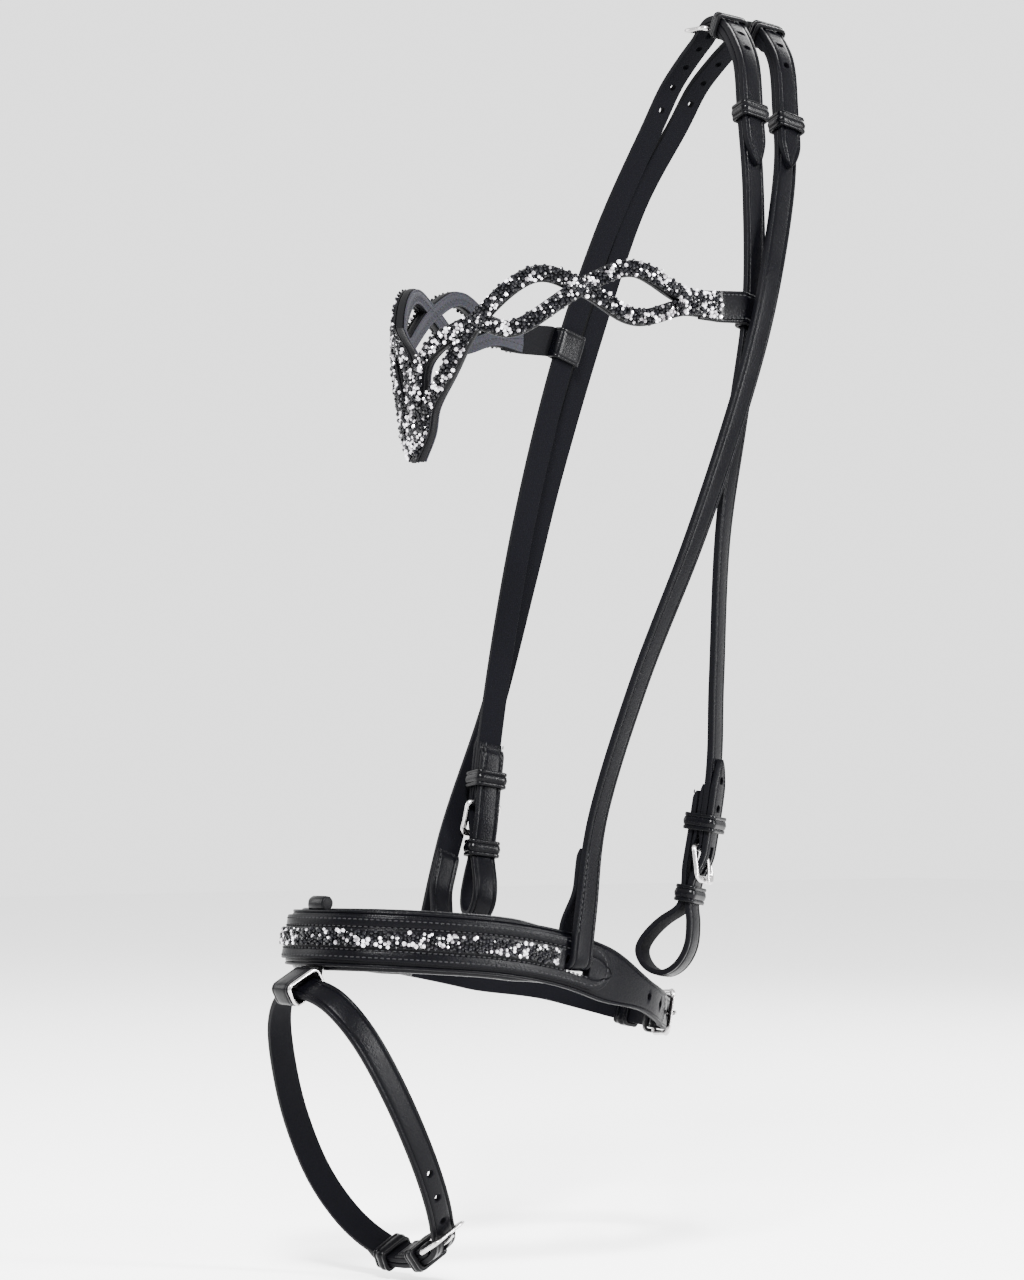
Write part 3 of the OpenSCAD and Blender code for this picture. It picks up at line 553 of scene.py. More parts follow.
def prism(point, x_dir, y_dir, z_dir, outline, low, high):
    """The outline in the x and y directions, extruded from low to high along z."""
    outline = np.asarray(outline, float)
    flat = point + outline[:, :1] * x_dir + outline[:, 1:] * y_dir
    n = len(outline)
    sides = [[i, (i + 1) % n, n + (i + 1) % n, n + i] for i in range(n)]
    caps = [list(range(n))[::-1], list(range(n, 2 * n))]
    return np.vstack([flat + z_dir * low, flat + z_dir * high]), caps + sides


def circle_outline(d, count=20):
    a = np.linspace(0, 2 * np.pi, count, endpoint=False)
    return np.column_stack([np.cos(a), np.sin(a)]) * d / 2


def box_outline(x0, x1, y0, y1):
    return [(x0, y0), (x1, y0), (x1, y1), (x0, y1)]


def hole(route, s, lift):
    point, travel, normal = route.frame(s)
    across = np.cross(travel, normal)
    return prism(point + normal * lift, across, travel, normal, circle_outline(HOLE_D), -4, 4)


def pitched(b, first, last):
    """Distances of the punched holes, counted from the buckle."""
    return [b.h + b.way * (i * HOLE_PITCH - 8.5) for i in range(first, last + 1)]


def tongue_slit(b):
    outline = box_outline(-TONGUE_D / 2 - 0.4, TONGUE_D / 2 + 0.4, 3 - BUCKLE_LEN, 0.6)
    point = b.route.place(b.h)
    return prism(point, b.side, b.along, b.out, outline, -6, 10)


def notch(b):
    return prism(b.route.place(b.h), b.side, b.along, b.out, box_outline(-2.1, 2.1, -7, 3.4), -9, 3)


def tip_width(w, tip, long=15.0):
    """The strap's width, closing to a point over the last stretch as a power of the distance."""
    def width(s):
        d = np.abs(tip - s)
        full = w(s) if callable(w) else w
        return full * np.clip(d / long, 0.004, 1) ** 0.52
    return width


def to_tip(a, tip):
    """Distances from a to tip, closer together near the tip."""
    k = np.sign(tip - a)
    return np.concatenate([run(a, tip - 16 * k), tip - k * 16 * np.linspace(0.94, 0, 16) ** 1.6])


# %% [markdown]
# ## Stitching
# Stitches are small thread capsules, thirty-odd faces each, set in a row along a strap.

# %% Stitches
def stitches(name, stations, offset, lift, spacing=3.0, length=2.1, radius=0.42):
    """Capsules along the stations: across * offset + normal * (t/2 + lift), every spacing millimetres."""
    row = even(stations, 0.5, 0)
    row = row[3::int(round(spacing / 0.5))]
    p, travel, normal, w, t = np.split(row, [3, 6, 9, 10], axis=1)
    across = np.cross(normal, travel)
    u = np.array([-1, -0.8, 0, 0.8, 1]) * length / 2
    r = np.array([0.05, 0.75, 1, 0.75, 0.05]) * radius
    a = np.linspace(0, 2 * np.pi, 6, endpoint=False)
    middle = p + across * offset + normal * (t / 2 + lift)
    verts = (middle[:, None, None] + travel[:, None, None] * u[None, :, None, None]
        + across[:, None, None] * (r[:, None] * np.cos(a))[None, ..., None]
        + normal[:, None, None] * (r[:, None] * np.sin(a))[None, ..., None])
    one = np.vstack([grid_faces(5, 6, False), [[3, 2, 1, 0], [5, 4, 3, 0]],
        [[24, 25, 26, 27], [24, 27, 28, 29]]])
    faces = (one[None] + (np.arange(len(row)) * 30)[:, None, None]).reshape(-1, 4)
    return to_mesh(name, verts.reshape(-1, 3), faces, sharp=80)


# %% [markdown]
# ## Head straps
# The front strap runs from the far bit end over the poll to its near tip, and the rear one from the far
# noseband hanger. Both pass through the crown buckles, whose chapes are the cheekpiece and the hanger.

# %% Head straps, cheekpiece and hangers
HANGER_DROP, HANGER_TURN, HANGER_RISE = 9.2, 5.4, 66
FRONT_TIP = REAR_TIP = 124


def crown_strap(name, b, start, tip, extra, *nodes):
    body = layer(b.route, to_tip(b.h - 58, tip), b.rise, tip_width(STRAP_W, tip), STRAP_T)
    near = [hole(b.route, s, b.top) for s in pitched(b, 2, 4)]
    far = [hole(b.route, s, 0) for s in pitched(b, -4, -1)]
    strap = sweep(name, even(np.vstack([start, body])), GROOVED)
    drill(strap, far + near + [tongue_slit(b)] + extra)
    return finish(strap, "headstall", "black_leather", BRIDLE_LEATHER, *nodes)


def hanger_end(way):
    """Down outside the noseband, through its slot and up inside, where it is stitched to itself."""
    end = REAR.s[-1] if way > 0 else REAR.s[0]
    s0 = end - way * HANGER_DROP
    inner = -STRAP_T / 2 - FOLD_SLIT - BILLET_T / 2
    thick = lambda s: STRAP_T + (BILLET_T - STRAP_T) * smooth(-np.abs(s - end), -30, -18)
    back = lambda s: -2 * HANGER_TURN + (inner + 2 * HANGER_TURN) * smooth(np.abs(s - s0), 14, 38)
    return np.vstack([
        layer(REAR, run(end - way * HANGER_RISE, s0), 0, STRAP_W, thick, way),
        turn(REAR, s0, way, HANGER_TURN, 0, STRAP_W, BILLET_T),
        layer(REAR, run(s0, s0 - way * 54), back, STRAP_W, BILLET_T, -way, -1),
        layer(REAR, [s0 - way * 57], inner + 0.6, STRAP_W * 0.96, BILLET_T * 0.3, -way, -1)])


crown_front, crown_rear = BUCKLES["crown_front"], BUCKLES["crown_rear"]
near_bit, far_bit = BUCKLES["near_bit"], BUCKLES["far_bit"]
start = np.vstack([reverse(far_bit.fold()),
    layer(FRONT, run(far_bit.h + 18, crown_front.h - 60), 0, STRAP_W, STRAP_T)])
crown_strap("front_head_strap", crown_front, start, FRONT_TIP, [notch(far_bit)], "cheek_headstrap")
start = np.vstack([reverse(hanger_end(-1)),
    layer(REAR, run(REAR.s[0] + HANGER_RISE + 4, crown_rear.h - 60), 0, STRAP_W, STRAP_T)])
crown_strap("rear_head_strap", crown_rear, start, REAR_TIP, [], "noseband_headstrap")

cheek = np.vstack([reverse(crown_front.fold()),
    layer(FRONT, run(crown_front.h + 18, near_bit.h - 18), 0, STRAP_W, STRAP_T), near_bit.fold()])
piece = drill(sweep("near_cheek", even(cheek), GROOVED), [notch(crown_front), notch(near_bit)])
finish(piece, "headstall", "black_leather", BRIDLE_LEATHER, "near_cheekpiece")
hanger = np.vstack([reverse(crown_rear.fold()),
    layer(REAR, run(crown_rear.h + 18, REAR.s[-1] - HANGER_RISE - 4), 0, STRAP_W, STRAP_T), hanger_end(1)])
piece = drill(sweep("near_hanger", even(hanger), GROOVED), [notch(crown_rear)])
finish(piece, "headstall", "black_leather", BRIDLE_LEATHER, "near_noseband_hanger")
print("head straps made")

# %% [markdown]
# ## Bit billets
# A billet is stitched inside the cheek's end, loops round the bit's ring and is buckled outside.

# %% Bit billets
def bit_billet(name, b, outline, node):
    k = b.way
    pinch = b.h - k * PINCH
    point, travel, normal = FRONT.frame(pinch)
    tip = b.h + k * 48
    stations = np.vstack([
        layer(FRONT, [b.h + k * 30], -6.2 + 0.6, STRAP_W * 0.96, 0.8, -k, -1),
        layer(FRONT, run(b.h + k * 28, pinch + k * 18), -6.2, STRAP_W, BILLET_T, -k, -1),
        loop(point, -k * travel, normal, outline, STRAP_W, BILLET_T),
        layer(FRONT, to_tip(pinch + k * 8, tip), b.rise, tip_width(STRAP_W, tip), BILLET_T, k)])
    strap = drill(sweep(name, even(stations), GROOVED),
        [hole(FRONT, s, b.top) for s in pitched(b, 2, 3)] + [tongue_slit(b)])
    finish(strap, "headstall", "black_leather", BRIDLE_LEATHER, node)


bit_billet("near_billet", near_bit, NEAR_LOOP, "near_bit_billet")
bit_billet("far_billet", far_bit, FAR_LOOP, "far_bit_billet")

# %% [markdown]
# ## Buckles
# A frame is one closed sweep: round at the heel, slim at the sides and broad over the billet. The tongue
# curls round the heel bar and rests on the front bar.

# %% Buckle frames and tongues
SIDE_PLAY = 1.5


def rounded_ring(half_x, low_y, high_y, radius, arc=8):
    """A closed outline of a rectangle whose corners are quarter circles, as points and outward normals."""
    centres = [(half_x - radius, high_y - radius), (-half_x + radius, high_y - radius),
        (-half_x + radius, low_y + radius), (half_x - radius, low_y + radius)]
    a = np.radians(np.linspace(0, 90, arc))[None] + np.radians([0, 90, 180, 270])[:, None]
    out = np.stack([np.cos(a), np.sin(a)], -1)
    return (np.array(centres)[:, None] + out * radius).reshape(-1, 2), out.reshape(-1, 2)


def fill_ring(points, out, step):
    """Points about step apart along each long side of the ring, with normals carried along."""
    nxt, nout = np.roll(points, -1, 0), np.roll(out, -1, 0)
    gap = np.linalg.norm(nxt - points, axis=1)
    rows = [np.linspace([*p, *o], [*q, *r], max(1, int(g / step)), endpoint=False)
        for p, o, q, r, g in zip(points, out, nxt, nout, gap)]
    full = np.vstack(rows)
    return full[:, :2], unit(full[:, 2:])


def buckle_frame(name, b):
    along = unit(b.bar - b.heel)
    up = unit(np.cross(b.side, along))
    up = up if up @ b.out > 0 else -up
    length = np.linalg.norm(b.bar - b.heel)
    points, out = fill_ring(*rounded_ring(b.w / 2 + SIDE_PLAY + WIRE_D / 2, 0, length, 3.2), 1.5)
    place = b.heel + points[:, :1] * b.side + points[:, 1:] * along
    travel = unit(np.roll(place, -1, 0) - np.roll(place, 1, 0))
    front = smooth(points[:, 1], length - 4.5, length - 0.5)
    heel = smooth(-points[:, 1], -3, -0.5)
    w = 2.3 + 1.9 * front + 0.6 * heel
    t = 2.5 - 0.3 * front + 0.4 * heel
    stations = np.column_stack([place, travel, np.tile(up, (len(place), 1)), w, t])
    return sweep(name, stations, round_profile(16), closed=True, sharp=60)


def buckle_tongue(name, b):
    along = unit(b.bar - b.heel)
    up = unit(b.out - along * (b.out @ along))
    r = WIRE_D / 2 + 0.15 + 0.6
    a = np.radians(np.linspace(335, 90, 26))[:, None]
    eye = b.heel + r * (np.cos(a) * along + np.sin(a) * up)
    over = b.bar + up * (WIRE_D / 2 + TONGUE_D / 2 - 0.35)
    start, tip = b.heel + up * r, over + along * 2.4
    u = np.linspace(0, 1, 16)[1:, None]
    bow = up * 0.9 * np.sin(np.pi * u)
    shank = start + (over - start) * u + bow
    reach, sag = np.linspace(0.25, 1, 5)[:, None], np.linspace(0, 1, 5)[:, None] ** 2
    end = over + (tip - over) * reach - up * 0.5 * sag
    place = np.vstack([eye, shank, end])
    travel = unit(np.gradient(place, axis=0))
    normal = unit(np.cross(np.tile(b.side, (len(place), 1)), travel))
    s = np.linspace(0, 1, len(place))
    w = np.where(s < 0.5, 2.8, 2.9 - 1.1 * (s - 0.5))
    w[-2:] *= [0.8, 0.4]
    t = np.where(s < 0.5, 1.2, 1.7 - 0.3 * s)
    t[-2:] *= [0.8, 0.4]
    return sweep(name, np.column_stack([place, travel, normal, w, t]), round_profile(14), sharp=60)


for key, b in BUCKLES.items():
    finish(buckle_frame(key + "_frame", b), BODY[key], "stainless_steel", STEEL, key + "_buckle")
    finish(buckle_tongue(key + "_pin", b), key + "_tongue", "stainless_steel", STEEL, key + "_tongue")
print("six buckles made")

# %% [markdown]
# ## Keepers
# A keeper is a short band of leather closed round both layers. Fixed ones sit behind the buckle, sliding
# ones further along. Two creases run round each.

# %% Keepers and runners
KEEPER_PROFILE = strap_profile(edge=0.9, groove_at=2.3, groove_w=0.6, groove_d=0.7, crown=0.7, inner=0.3)
RUNNER_EASE = 0.4


def band(name, point, travel, normal, w, h, wall, length, profile, radius=2.0):
    """A closed strap around a box of w by h, seen along travel."""
    side = np.cross(travel, normal)
    hx, hz = w / 2 + wall / 2, h / 2 + wall / 2
    points, out = fill_ring(*rounded_ring(hx, -hz, hz, min(radius, hz - 0.1), 6), 1.5)
    place = point + points[:, :1] * side + points[:, 1:] * normal
    heading = unit(np.roll(place, -1, 0) - np.roll(place, 1, 0))
    outward = out[:, :1] * side + out[:, 1:] * normal
    outward = unit(outward - heading * np.sum(outward * heading, 1, keepdims=True))
    size = np.tile([length, wall], (len(place), 1))
    return sweep(name, np.column_stack([place, heading, outward, size]), profile, closed=True)


def keeper(name, route, s, w, low, high, length=KEEPER_LEN):
    point, travel, normal = route.frame(s)
    return band(name, point + normal * (low + high) / 2, travel, normal, w + 2 * KEEPER_GAP,
        high - low + 2 * KEEPER_GAP, KEEPER_T, length, KEEPER_PROFILE)


RUNNER_AT = {"crown_front": (92, -STRAP_T / 2), "crown_rear": (88, -STRAP_T / 2),
    "near_bit": (13, -6.2 - BILLET_T / 2), "far_bit": (13, -6.2 - BILLET_T / 2),
    "chin": (60, -BAND_T / 2), "flash": (46, -FLASH_T / 2)}
for key, b in BUCKLES.items():
    if key.endswith("bit"):
        fixed = keeper(key + "_fixed_keeper", FRONT, b.h - b.way * PINCH, STRAP_W,
            -4.8 - BILLET_T / 2, -0.8 + BILLET_T / 2)
    else:
        fixed = keeper(key + "_fixed_keeper", b.route, b.h + b.way * 15, b.w,
            b.fold_lift - FOLD_T / 2, b.top + b.billet_t / 2)
    finish(fixed, BODY[key], "black_leather", KEEPER_LEATHER, key + "_keeper")
    away, low = RUNNER_AT[key]
    sliding = keeper(key + "_sliding_keeper", b.route, b.h + b.way * away, b.w,
        low - RUNNER_EASE, b.top + b.billet_t / 2 + RUNNER_EASE)
    finish(sliding, key + "_runner", "black_leather", KEEPER_LEATHER, key + "_runner")
print("twelve keepers made")

# %% [markdown]
# ## Browband
# Two padded strands cross and recross along half an ellipse in front of the brow. Each carries a bed full
# of cut stones outside, and a lining inside. All three follow the same stations at different lifts.

# %% Browband strands
def brow_point(angle, z):
    """x = A sin(angle), y = back - B cos(angle), on half an ellipse seen from above."""
    a = np.radians(angle)
    return np.stack([BROW_HALF * np.sin(a), BROW_BACK - BROW_REACH * np.cos(a), z], -1)


def brow_out(angle):
    a = np.radians(angle)
    return unit(np.stack([np.sin(a) / BROW_HALF, -np.cos(a) / BROW_REACH, 0 * a], -1))


def strand(outline, side, lift, w, t, face=1):
    """Stations along one half of a strand; side -1 mirrors it to the far half."""
    c = curve(outline, 12)
    place, out = brow_point(c[:, 0], c[:, 1]), brow_out(c[:, 0])
    v = np.gradient(place, axis=0)
    heading = unit(v - out * np.sum(v * out, 1, keepdims=True))
    mirror = np.array([side, 1, 1])
    size = np.tile([w, t], (len(c), 1))
    place = place + out * lift
    return even(np.column_stack([place * mirror, heading * mirror, face * out * mirror, size]))


def cut_stones(name, stations, w, lift, pitch=2.2, clear=0.29):
    """Staggered rows of stones: rings of eight corners for the back, the girdle and the table."""
    rows = even(stations, pitch * 0.88, 1)[1:-1]
    count = int(round(w / pitch))
    i, j = np.meshgrid(np.arange(len(rows)), np.arange(count), indexing="ij")
    x = (j - (count - 1) / 2 + 0.5 * (i % 2) - 0.25) * pitch * 0.93 + rng.uniform(-0.4, 0.4, i.shape)
    p, travel, normal = [rows[i.ravel(), k:k + 3] for k in (0, 3, 6)]
    across = np.cross(normal, travel)
    n = i.size
    jitter = rng.uniform(-0.5, 0.5, (n, 1))
    height = lift + rng.uniform(-0.4, 0.3, (n, 1))
    centre = p + across * x.reshape(-1, 1) + travel * jitter + normal * height
    up = unit(normal + across * rng.normal(0, 0.3, (n, 1)) + travel * rng.normal(0, 0.3, (n, 1)))
    u = unit(np.cross(up, travel))
    v = np.cross(up, u)
    a = np.radians(np.arange(0, 360, 45)) + rng.uniform(0, 1, (n, 1))
    ring = np.cos(a)[..., None] * u[:, None] + np.sin(a)[..., None] * v[:, None]
    size = pitch / 2 * rng.uniform(0.75, 1.25, (n, 1, 1))
    level = [(0.5, -0.7), (1.0, 0.0), (0.93, 0.2), (0.5, 0.62)]
    verts = np.stack([centre[:, None] + ring * size * r + up[:, None] * size * h for r, h in level], 1)
    one = np.vstack([grid_faces(4, 8, False), [[3, 2, 1, 0], [7, 4, 3, 0], [7, 6, 5, 4]],
        [[24, 25, 26, 27], [24, 27, 28, 31], [28, 29, 30, 31]]])
    faces = (one[None] + (np.arange(n) * 32)[:, None, None]).reshape(-1, 4)
    obj = to_mesh(name, verts.reshape(-1, 3), faces, sharp=5)
    wave = sum(np.sin(centre @ rng.normal(0, 0.35, 3) + rng.uniform(0, 6)) for _ in range(5))
    luck = wave * 0.28 + rng.normal(0, 0.8, n)
    is_clear = luck > np.quantile(luck, 1 - clear)
    obj.data.polygons.foreach_set("material_index", np.repeat(is_clear, len(one)).astype(np.int32))
    return obj


BED = strap_profile(edge=0.5, groove_d=0, crown=0.2)
PADDED = strap_profile(edge=1.3, groove_d=0, crown=0.5, inner=0.8)
LINED = strap_profile(edge=0.25, groove_at=1.3, groove_w=0.5, groove_d=0.5, crown=0.9, inner=0.2)
stone_count = 0
for side, half in ((1, "near"), (-1, "far")):
    for k, outline in enumerate((RISING_STRAND, FALLING_STRAND)):
        label = f"{half}_{('rising', 'falling')[k]}_"
        up = 0.3 * k
        base = sweep(label + "strand", strand(outline, side, up, STRAND_W, BROW_T), PADDED)
        finish(base, "browband", "black_leather", KEEPER_LEATHER, "browband_base")
        bed_at = BROW_T / 2 + 0.9 + up
        bed = sweep(label + "bed", strand(outline, side, bed_at, CRUST_W + 0.5, 1.4), BED)
        finish(bed, "browband", "black_stones", KEEPER_LEATHER, "browband_crystals")
        gems = cut_stones(label + "stones", strand(outline, side, 0, 1, 1), CRUST_W + 0.4, bed_at + 1.35)
        finish(gems, "browband", "black_stones", [JET, CLEAR], "browband_crystals")
        stone_count += len(gems.data.vertices) // 32
        inner = strand(outline, side, -BROW_T / 2 - 1 + up, STRAND_W - 1, 1, -1)
        lining = sweep(label + "lining", inner, LINED)
        finish(lining, "browband", "lining_leather", LINING_LEATHER, "browband_lining")
        row = stitches(label + "lining_thread", inner, 0, 0.25)
        finish(row, "browband", "lining_leather", THREAD)
print("browband stones:", stone_count)

# %% [markdown]
# ## Browband ends
# The plain end is a flat tab that widens from the crossing strands to a loop around the front head strap.

# %% Browband tabs and loops
BROW_LOOP_GAP, BROW_LOOP_T, BROW_END_H = 0.9, 2.0, 18.0
BROW_TAB_ANGLE, BROW_TAB_Z = 80.3, -174.0
LOOP_PROFILE = strap_profile(edge=0.8, groove_at=1.8, groove_w=0.4, groove_d=0.3, crown=0.25, inner=0.4)


def brow_end(label, s, side):
    point, travel, normal = FRONT.frame(s)
    across = np.cross(travel, normal)
    forward = across * (1 if across[1] < 0 else -1)
    w, h = STRAP_W + 2 * BROW_LOOP_GAP, STRAP_T + 2 * BROW_LOOP_GAP
    ring = band(label + "_brow_loop", point, travel, normal, w, h, BROW_LOOP_T, BROW_END_H, LOOP_PROFILE)
    corner = point + forward * (w / 2 - 2) + normal * (h / 2 + BROW_LOOP_T / 2 + 0.1)
    angle = np.array([BROW_TAB_ANGLE, BROW_TAB_ANGLE - 5])
    mirror = np.array([side, 1, 1])
    over = (brow_point(angle, np.full(2, BROW_TAB_Z)) + brow_out(angle) * 0.6) * mirror
    place = np.vstack([corner, corner + forward * 4, over])
    out = np.vstack([normal, normal, brow_out(angle) * mirror])
    heading = unit(np.gradient(place, axis=0))
    out = unit(out - heading * np.sum(out * heading, 1, keepdims=True))
    size = np.array([[BROW_END_H - 0.4, 1.8], [BROW_END_H - 0.4, 2.2], [BROW_END_H - 1, 3],
        [BROW_END_H - 2.5, 2.6]])
    tab = even(np.column_stack([place, heading, out, size]), 1.0)
    strip = sweep(label + "_brow_tab", tab, LOOP_PROFILE)
    node = label + "_browband_loop"
    finish(ring, "browband", "black_leather", KEEPER_LEATHER, node)
    finish(strip, "browband", "black_leather", KEEPER_LEATHER, node)
    for i, at in enumerate((-BROW_END_H / 2 + 2.6, BROW_END_H / 2 - 2.6)):
        finish(stitches(f"{label}_tab_thread_{i}", tab, at, 0.1), "browband", "black_leather", THREAD)


brow_end("near", FRONT.reach(11) + 4, 1)
brow_end("far", FRONT.reach(3) + 14, -1)
print("browband ends made")

# %% [markdown]
# ## Noseband
# The band is wide over the nose and narrows behind each hanger to a strap that buckles behind the chin.
# An overlay with pointed ends is stitched on it, with a sunken channel for the stones. Inside, a soft pad
# wider than the band rolls out over both edges.

# %% Noseband band and overlay
SLOT_H, SLOT_DROP, OVERLAY_END = 8.6, 2.0, 24
STONES_SHORT, PADDING_SHORT, LAYER_SLIT = 13, 14, 0.35
CHIN_TIP = 92
chin = BUCKLES["chin"]
outside = BAND_T / 2


def nose_width(s):
    wide = smooth(s, NOSE.reach(4.5), NOSE.reach(6.25)) - smooth(s, NEAR_HANGER + 18, NEAR_HANGER + 64)
    return CHIN_W + (BAND_H - CHIN_W) * wide


def hanger_slots():
    cuts = []
    for s in (FAR_HANGER, NEAR_HANGER):
        point, travel, normal = NOSE.frame(s)
        x0, y = SLOT_DROP - SLOT_H / 2, STRAP_W / 2 + 1.5
        cross = np.cross(travel, normal)
        cuts.append(prism(point, cross, travel, normal, box_outline(x0, x0 + SLOT_H, -y, y), -9, 9))
    return cuts


tip = chin.h + CHIN_TIP
stations = np.vstack([reverse(CHIN_CHAPE.fold()),
    layer(NOSE, to_tip(18, tip), chin.rise, tip_width(nose_width, tip), BAND_T)])
strap = sweep("noseband_band", even(stations), strap_profile(groove_at=1.6, groove_w=0.5))
drill(strap, hanger_slots() + [notch(CHIN_CHAPE)] + [hole(NOSE, s, 0) for s in pitched(chin, -3, -1)])
drill(strap, [tongue_slit(chin)] + [hole(NOSE, s, chin.top) for s in pitched(chin, 3, 4)])
finish(strap, "noseband", "black_leather", BRIDLE_LEATHER, "noseband_strap")

low, high = FAR_HANGER - OVERLAY_END, NEAR_HANGER + OVERLAY_END


def overlay_width(s):
    """Full width, closing to a round point over the last 12 mm: sqrt(1 - (1 - d/12)^2)."""
    d = np.clip(np.minimum(s - low, high - s) / 12, 0.002, 1)
    return OVERLAY_H * np.sqrt(1 - (1 - d) ** 2)


ease = 12 * np.linspace(0, 1, 14) ** 1.8
marks = np.concatenate([low + ease, run(low + 12, high - 12), high - ease[::-1]])
over_at = outside + LAYER_SLIT + OVERLAY_T / 2
stations = layer(NOSE, marks, over_at, overlay_width, OVERLAY_T)
channelled = strap_profile(edge=0.8, groove_at=5.6, groove_w=0.8, groove_d=0.7, crown=-0.5, inner=0.3)
overlay = drill(sweep("noseband_overlay_leather", even(stations, 1.2), channelled), hanger_slots())
finish(overlay, "noseband", "black_leather", BRIDLE_LEATHER, "noseband_overlay")
print("band and overlay made")

# %% [markdown]
# ## Noseband stones, stitches and pad
# The stones lie in the channel between two stitch rows. The pad is a rounded body with a seam pressed
# in near each edge, and folds where it bends around the nose.

# %% Noseband stones, stitches and pad
CHANNEL_W, OUTER_ROW, INNER_ROW = 9.4, 9.7, 5.9
s_mid = run(FAR_HANGER + STONES_SHORT, NEAR_HANGER - STONES_SHORT)
bed_at = outside + 2 * LAYER_SLIT + OVERLAY_T + 0.1
bed = sweep("noseband_bed", even(layer(NOSE, s_mid, bed_at, CHANNEL_W, 1.0)), BED)
finish(bed, "noseband", "black_stones", KEEPER_LEATHER, "noseband_crystals")
gems = cut_stones("noseband_stones", layer(NOSE, s_mid, 0, 1, 1), CHANNEL_W, bed_at + 1.0)
finish(gems, "noseband", "black_stones", [JET, CLEAR], "noseband_crystals")

for i, edge in enumerate((-1, 1)):
    for name, offset in (("outer", OUTER_ROW), ("inner", INNER_ROW)):
        base = layer(NOSE, run(low + 16, high - 16), over_at, 1, OVERLAY_T)
        finish(stitches(f"overlay_thread_{name}_{i}", base, edge * offset, -0.05), "noseband",
            "black_leather", THREAD)
a = np.linspace(-80, 80, 15)
for i, (s0, k) in enumerate(((high, 1), (low, -1))):
    s = s0 - 16 * k + k * 12.6 * np.cos(np.radians(a))
    off = OUTER_ROW * np.sin(np.radians(a))
    point, travel, normal = NOSE.frame(s)
    across = np.cross(normal, travel)
    path = point + normal * over_at + across * off[:, None]
    heading = unit(np.gradient(path, axis=0))
    row = np.column_stack([path, heading, normal, np.ones(len(s)), np.full(len(s), OVERLAY_T)])
    finish(stitches(f"overlay_end_thread_{i}", row, 0, -0.05), "noseband", "black_leather", THREAD)


def pad_profile(count=44):
    """A flattened ring, thick and round at both edges, with a seam pressed in beside each edge."""
    a = np.linspace(0, 2 * np.pi, count, endpoint=False)
    x = np.sign(np.cos(a)) * np.abs(np.cos(a)) ** 0.55
    z = np.sign(np.sin(a)) * np.abs(np.sin(a)) ** 0.75
    pressed = np.exp(-((np.abs(x) - 0.72) / 0.06) ** 2) * 0.7
    seam = pressed - np.exp(-((np.abs(x) - 0.9) / 0.09) ** 2) * 0.35
    return np.column_stack([x, 0 * a, z, -np.sign(z) * seam, 0 * a + 1])


pad_low, pad_high = FAR_HANGER + PADDING_SHORT, NEAR_HANGER - PADDING_SHORT
TAB_HALF = 8.0
for i, (a0, b0) in enumerate(((pad_low, NOSE_FRONT - TAB_HALF), (NOSE_FRONT + TAB_HALF, pad_high))):
    s = run(a0, b0, 1.0)
    close = np.clip(np.minimum(s - a0, b0 - s) / 3, 0.03, 1)
    puff = np.sqrt(1 - (1 - close) ** 2)
    wrinkle = 1 + 0.05 * np.sin(s * 0.9) * np.sin(s * 0.23 + 1) + 0.03 * np.sin(s * 2.1)
    st = layer(NOSE, s, -(outside + LAYER_SLIT + PADDING_T / 2), 1, 1, 1, -1)
    taper = smooth(np.minimum(s - pad_low, pad_high - s), -2, 26)
    st[:, 9], st[:, 10] = (BAND_H + 3.4) * (0.88 + 0.12 * taper), (PADDING_T + 0.6) * puff * wrinkle
    pad = sweep(f"nose_pad_{i}", st, pad_profile(), sharp=70)
    finish(pad, "noseband", "padding_leather", PAD_LEATHER, "noseband_padding")
print("noseband made")

# %% [markdown]
# ## Flash
# A tab comes over the noseband's top edge, runs down behind it and ends in a loop of its own. The flash
# strap passes through that loop and a wire ring, and closes under the jaw.

# %% Flash tab, ring and strap
RING_AT, RING_OPEN, TAB_W = 9.5, 9.0, 14.0
JAW_TIP = 68
jaw = BUCKLES["flash"]
point, travel, normal = NOSE.frame(NOSE_FRONT)
down = np.cross(normal, travel)
down = down if down[2] < 0 else -down
back = -(outside + 1 + 1.5)
outline = [(back + 2.1, -22), (back + 2.1, -20), (back + 2.1, -18), (back + 1.9, -16), (back + 0.6, -14),
    (back, -11), (back, 0), (back, 10), (back, 20), (back - 0.4, 23.5)]
c = curve(outline, 6)
v = np.gradient(c, axis=0)
heading = unit(normal * v[:, :1] + down * v[:, 1:])
place = point + normal * c[:, :1] + down * c[:, 1:]
block = 2.6 + 4.2 * smooth(-c[:, 1], 14.5, 15.8)
ends = np.sqrt(1 - (1 - np.clip((22.2 + c[:, 1]) / 2.2, 0, 1)) ** 2)
size = np.column_stack([TAB_W - 2.4 * (1 - ends), block * np.clip(ends, 0.1, 1)])
tab = np.column_stack([place, heading, np.cross(heading, travel), size])
strip = sweep("flash_tab_strip", even(tab, 1.0), PADDED)
finish(strip, "noseband", "black_leather", KEEPER_LEATHER, "flash_tab")

ring = FLASH.place(FLASH.reach(9) + RING_AT)
across_ring = np.array([1.0, 0, 0])
out_ring = np.cross(across_ring, flash_across)
out_ring = out_ring if out_ring[2] > 0 else -out_ring
leather_loop = band("flash_tab_loop", ring, across_ring, out_ring, FLASH_W + 3, RING_OPEN, 2.0, TAB_W,
    LOOP_PROFILE, 3.0)
finish(leather_loop, "noseband", "black_leather", KEEPER_LEATHER, "flash_tab")
wire = band("flash_ring", ring + across_ring * (TAB_W / 2 + 1.3), across_ring, out_ring, FLASH_W + 3,
    RING_OPEN, 2.0, 2.0, round_profile(16), 3.0)
finish(wire, "noseband", "stainless_steel", STEEL, "flash_wire_ring")

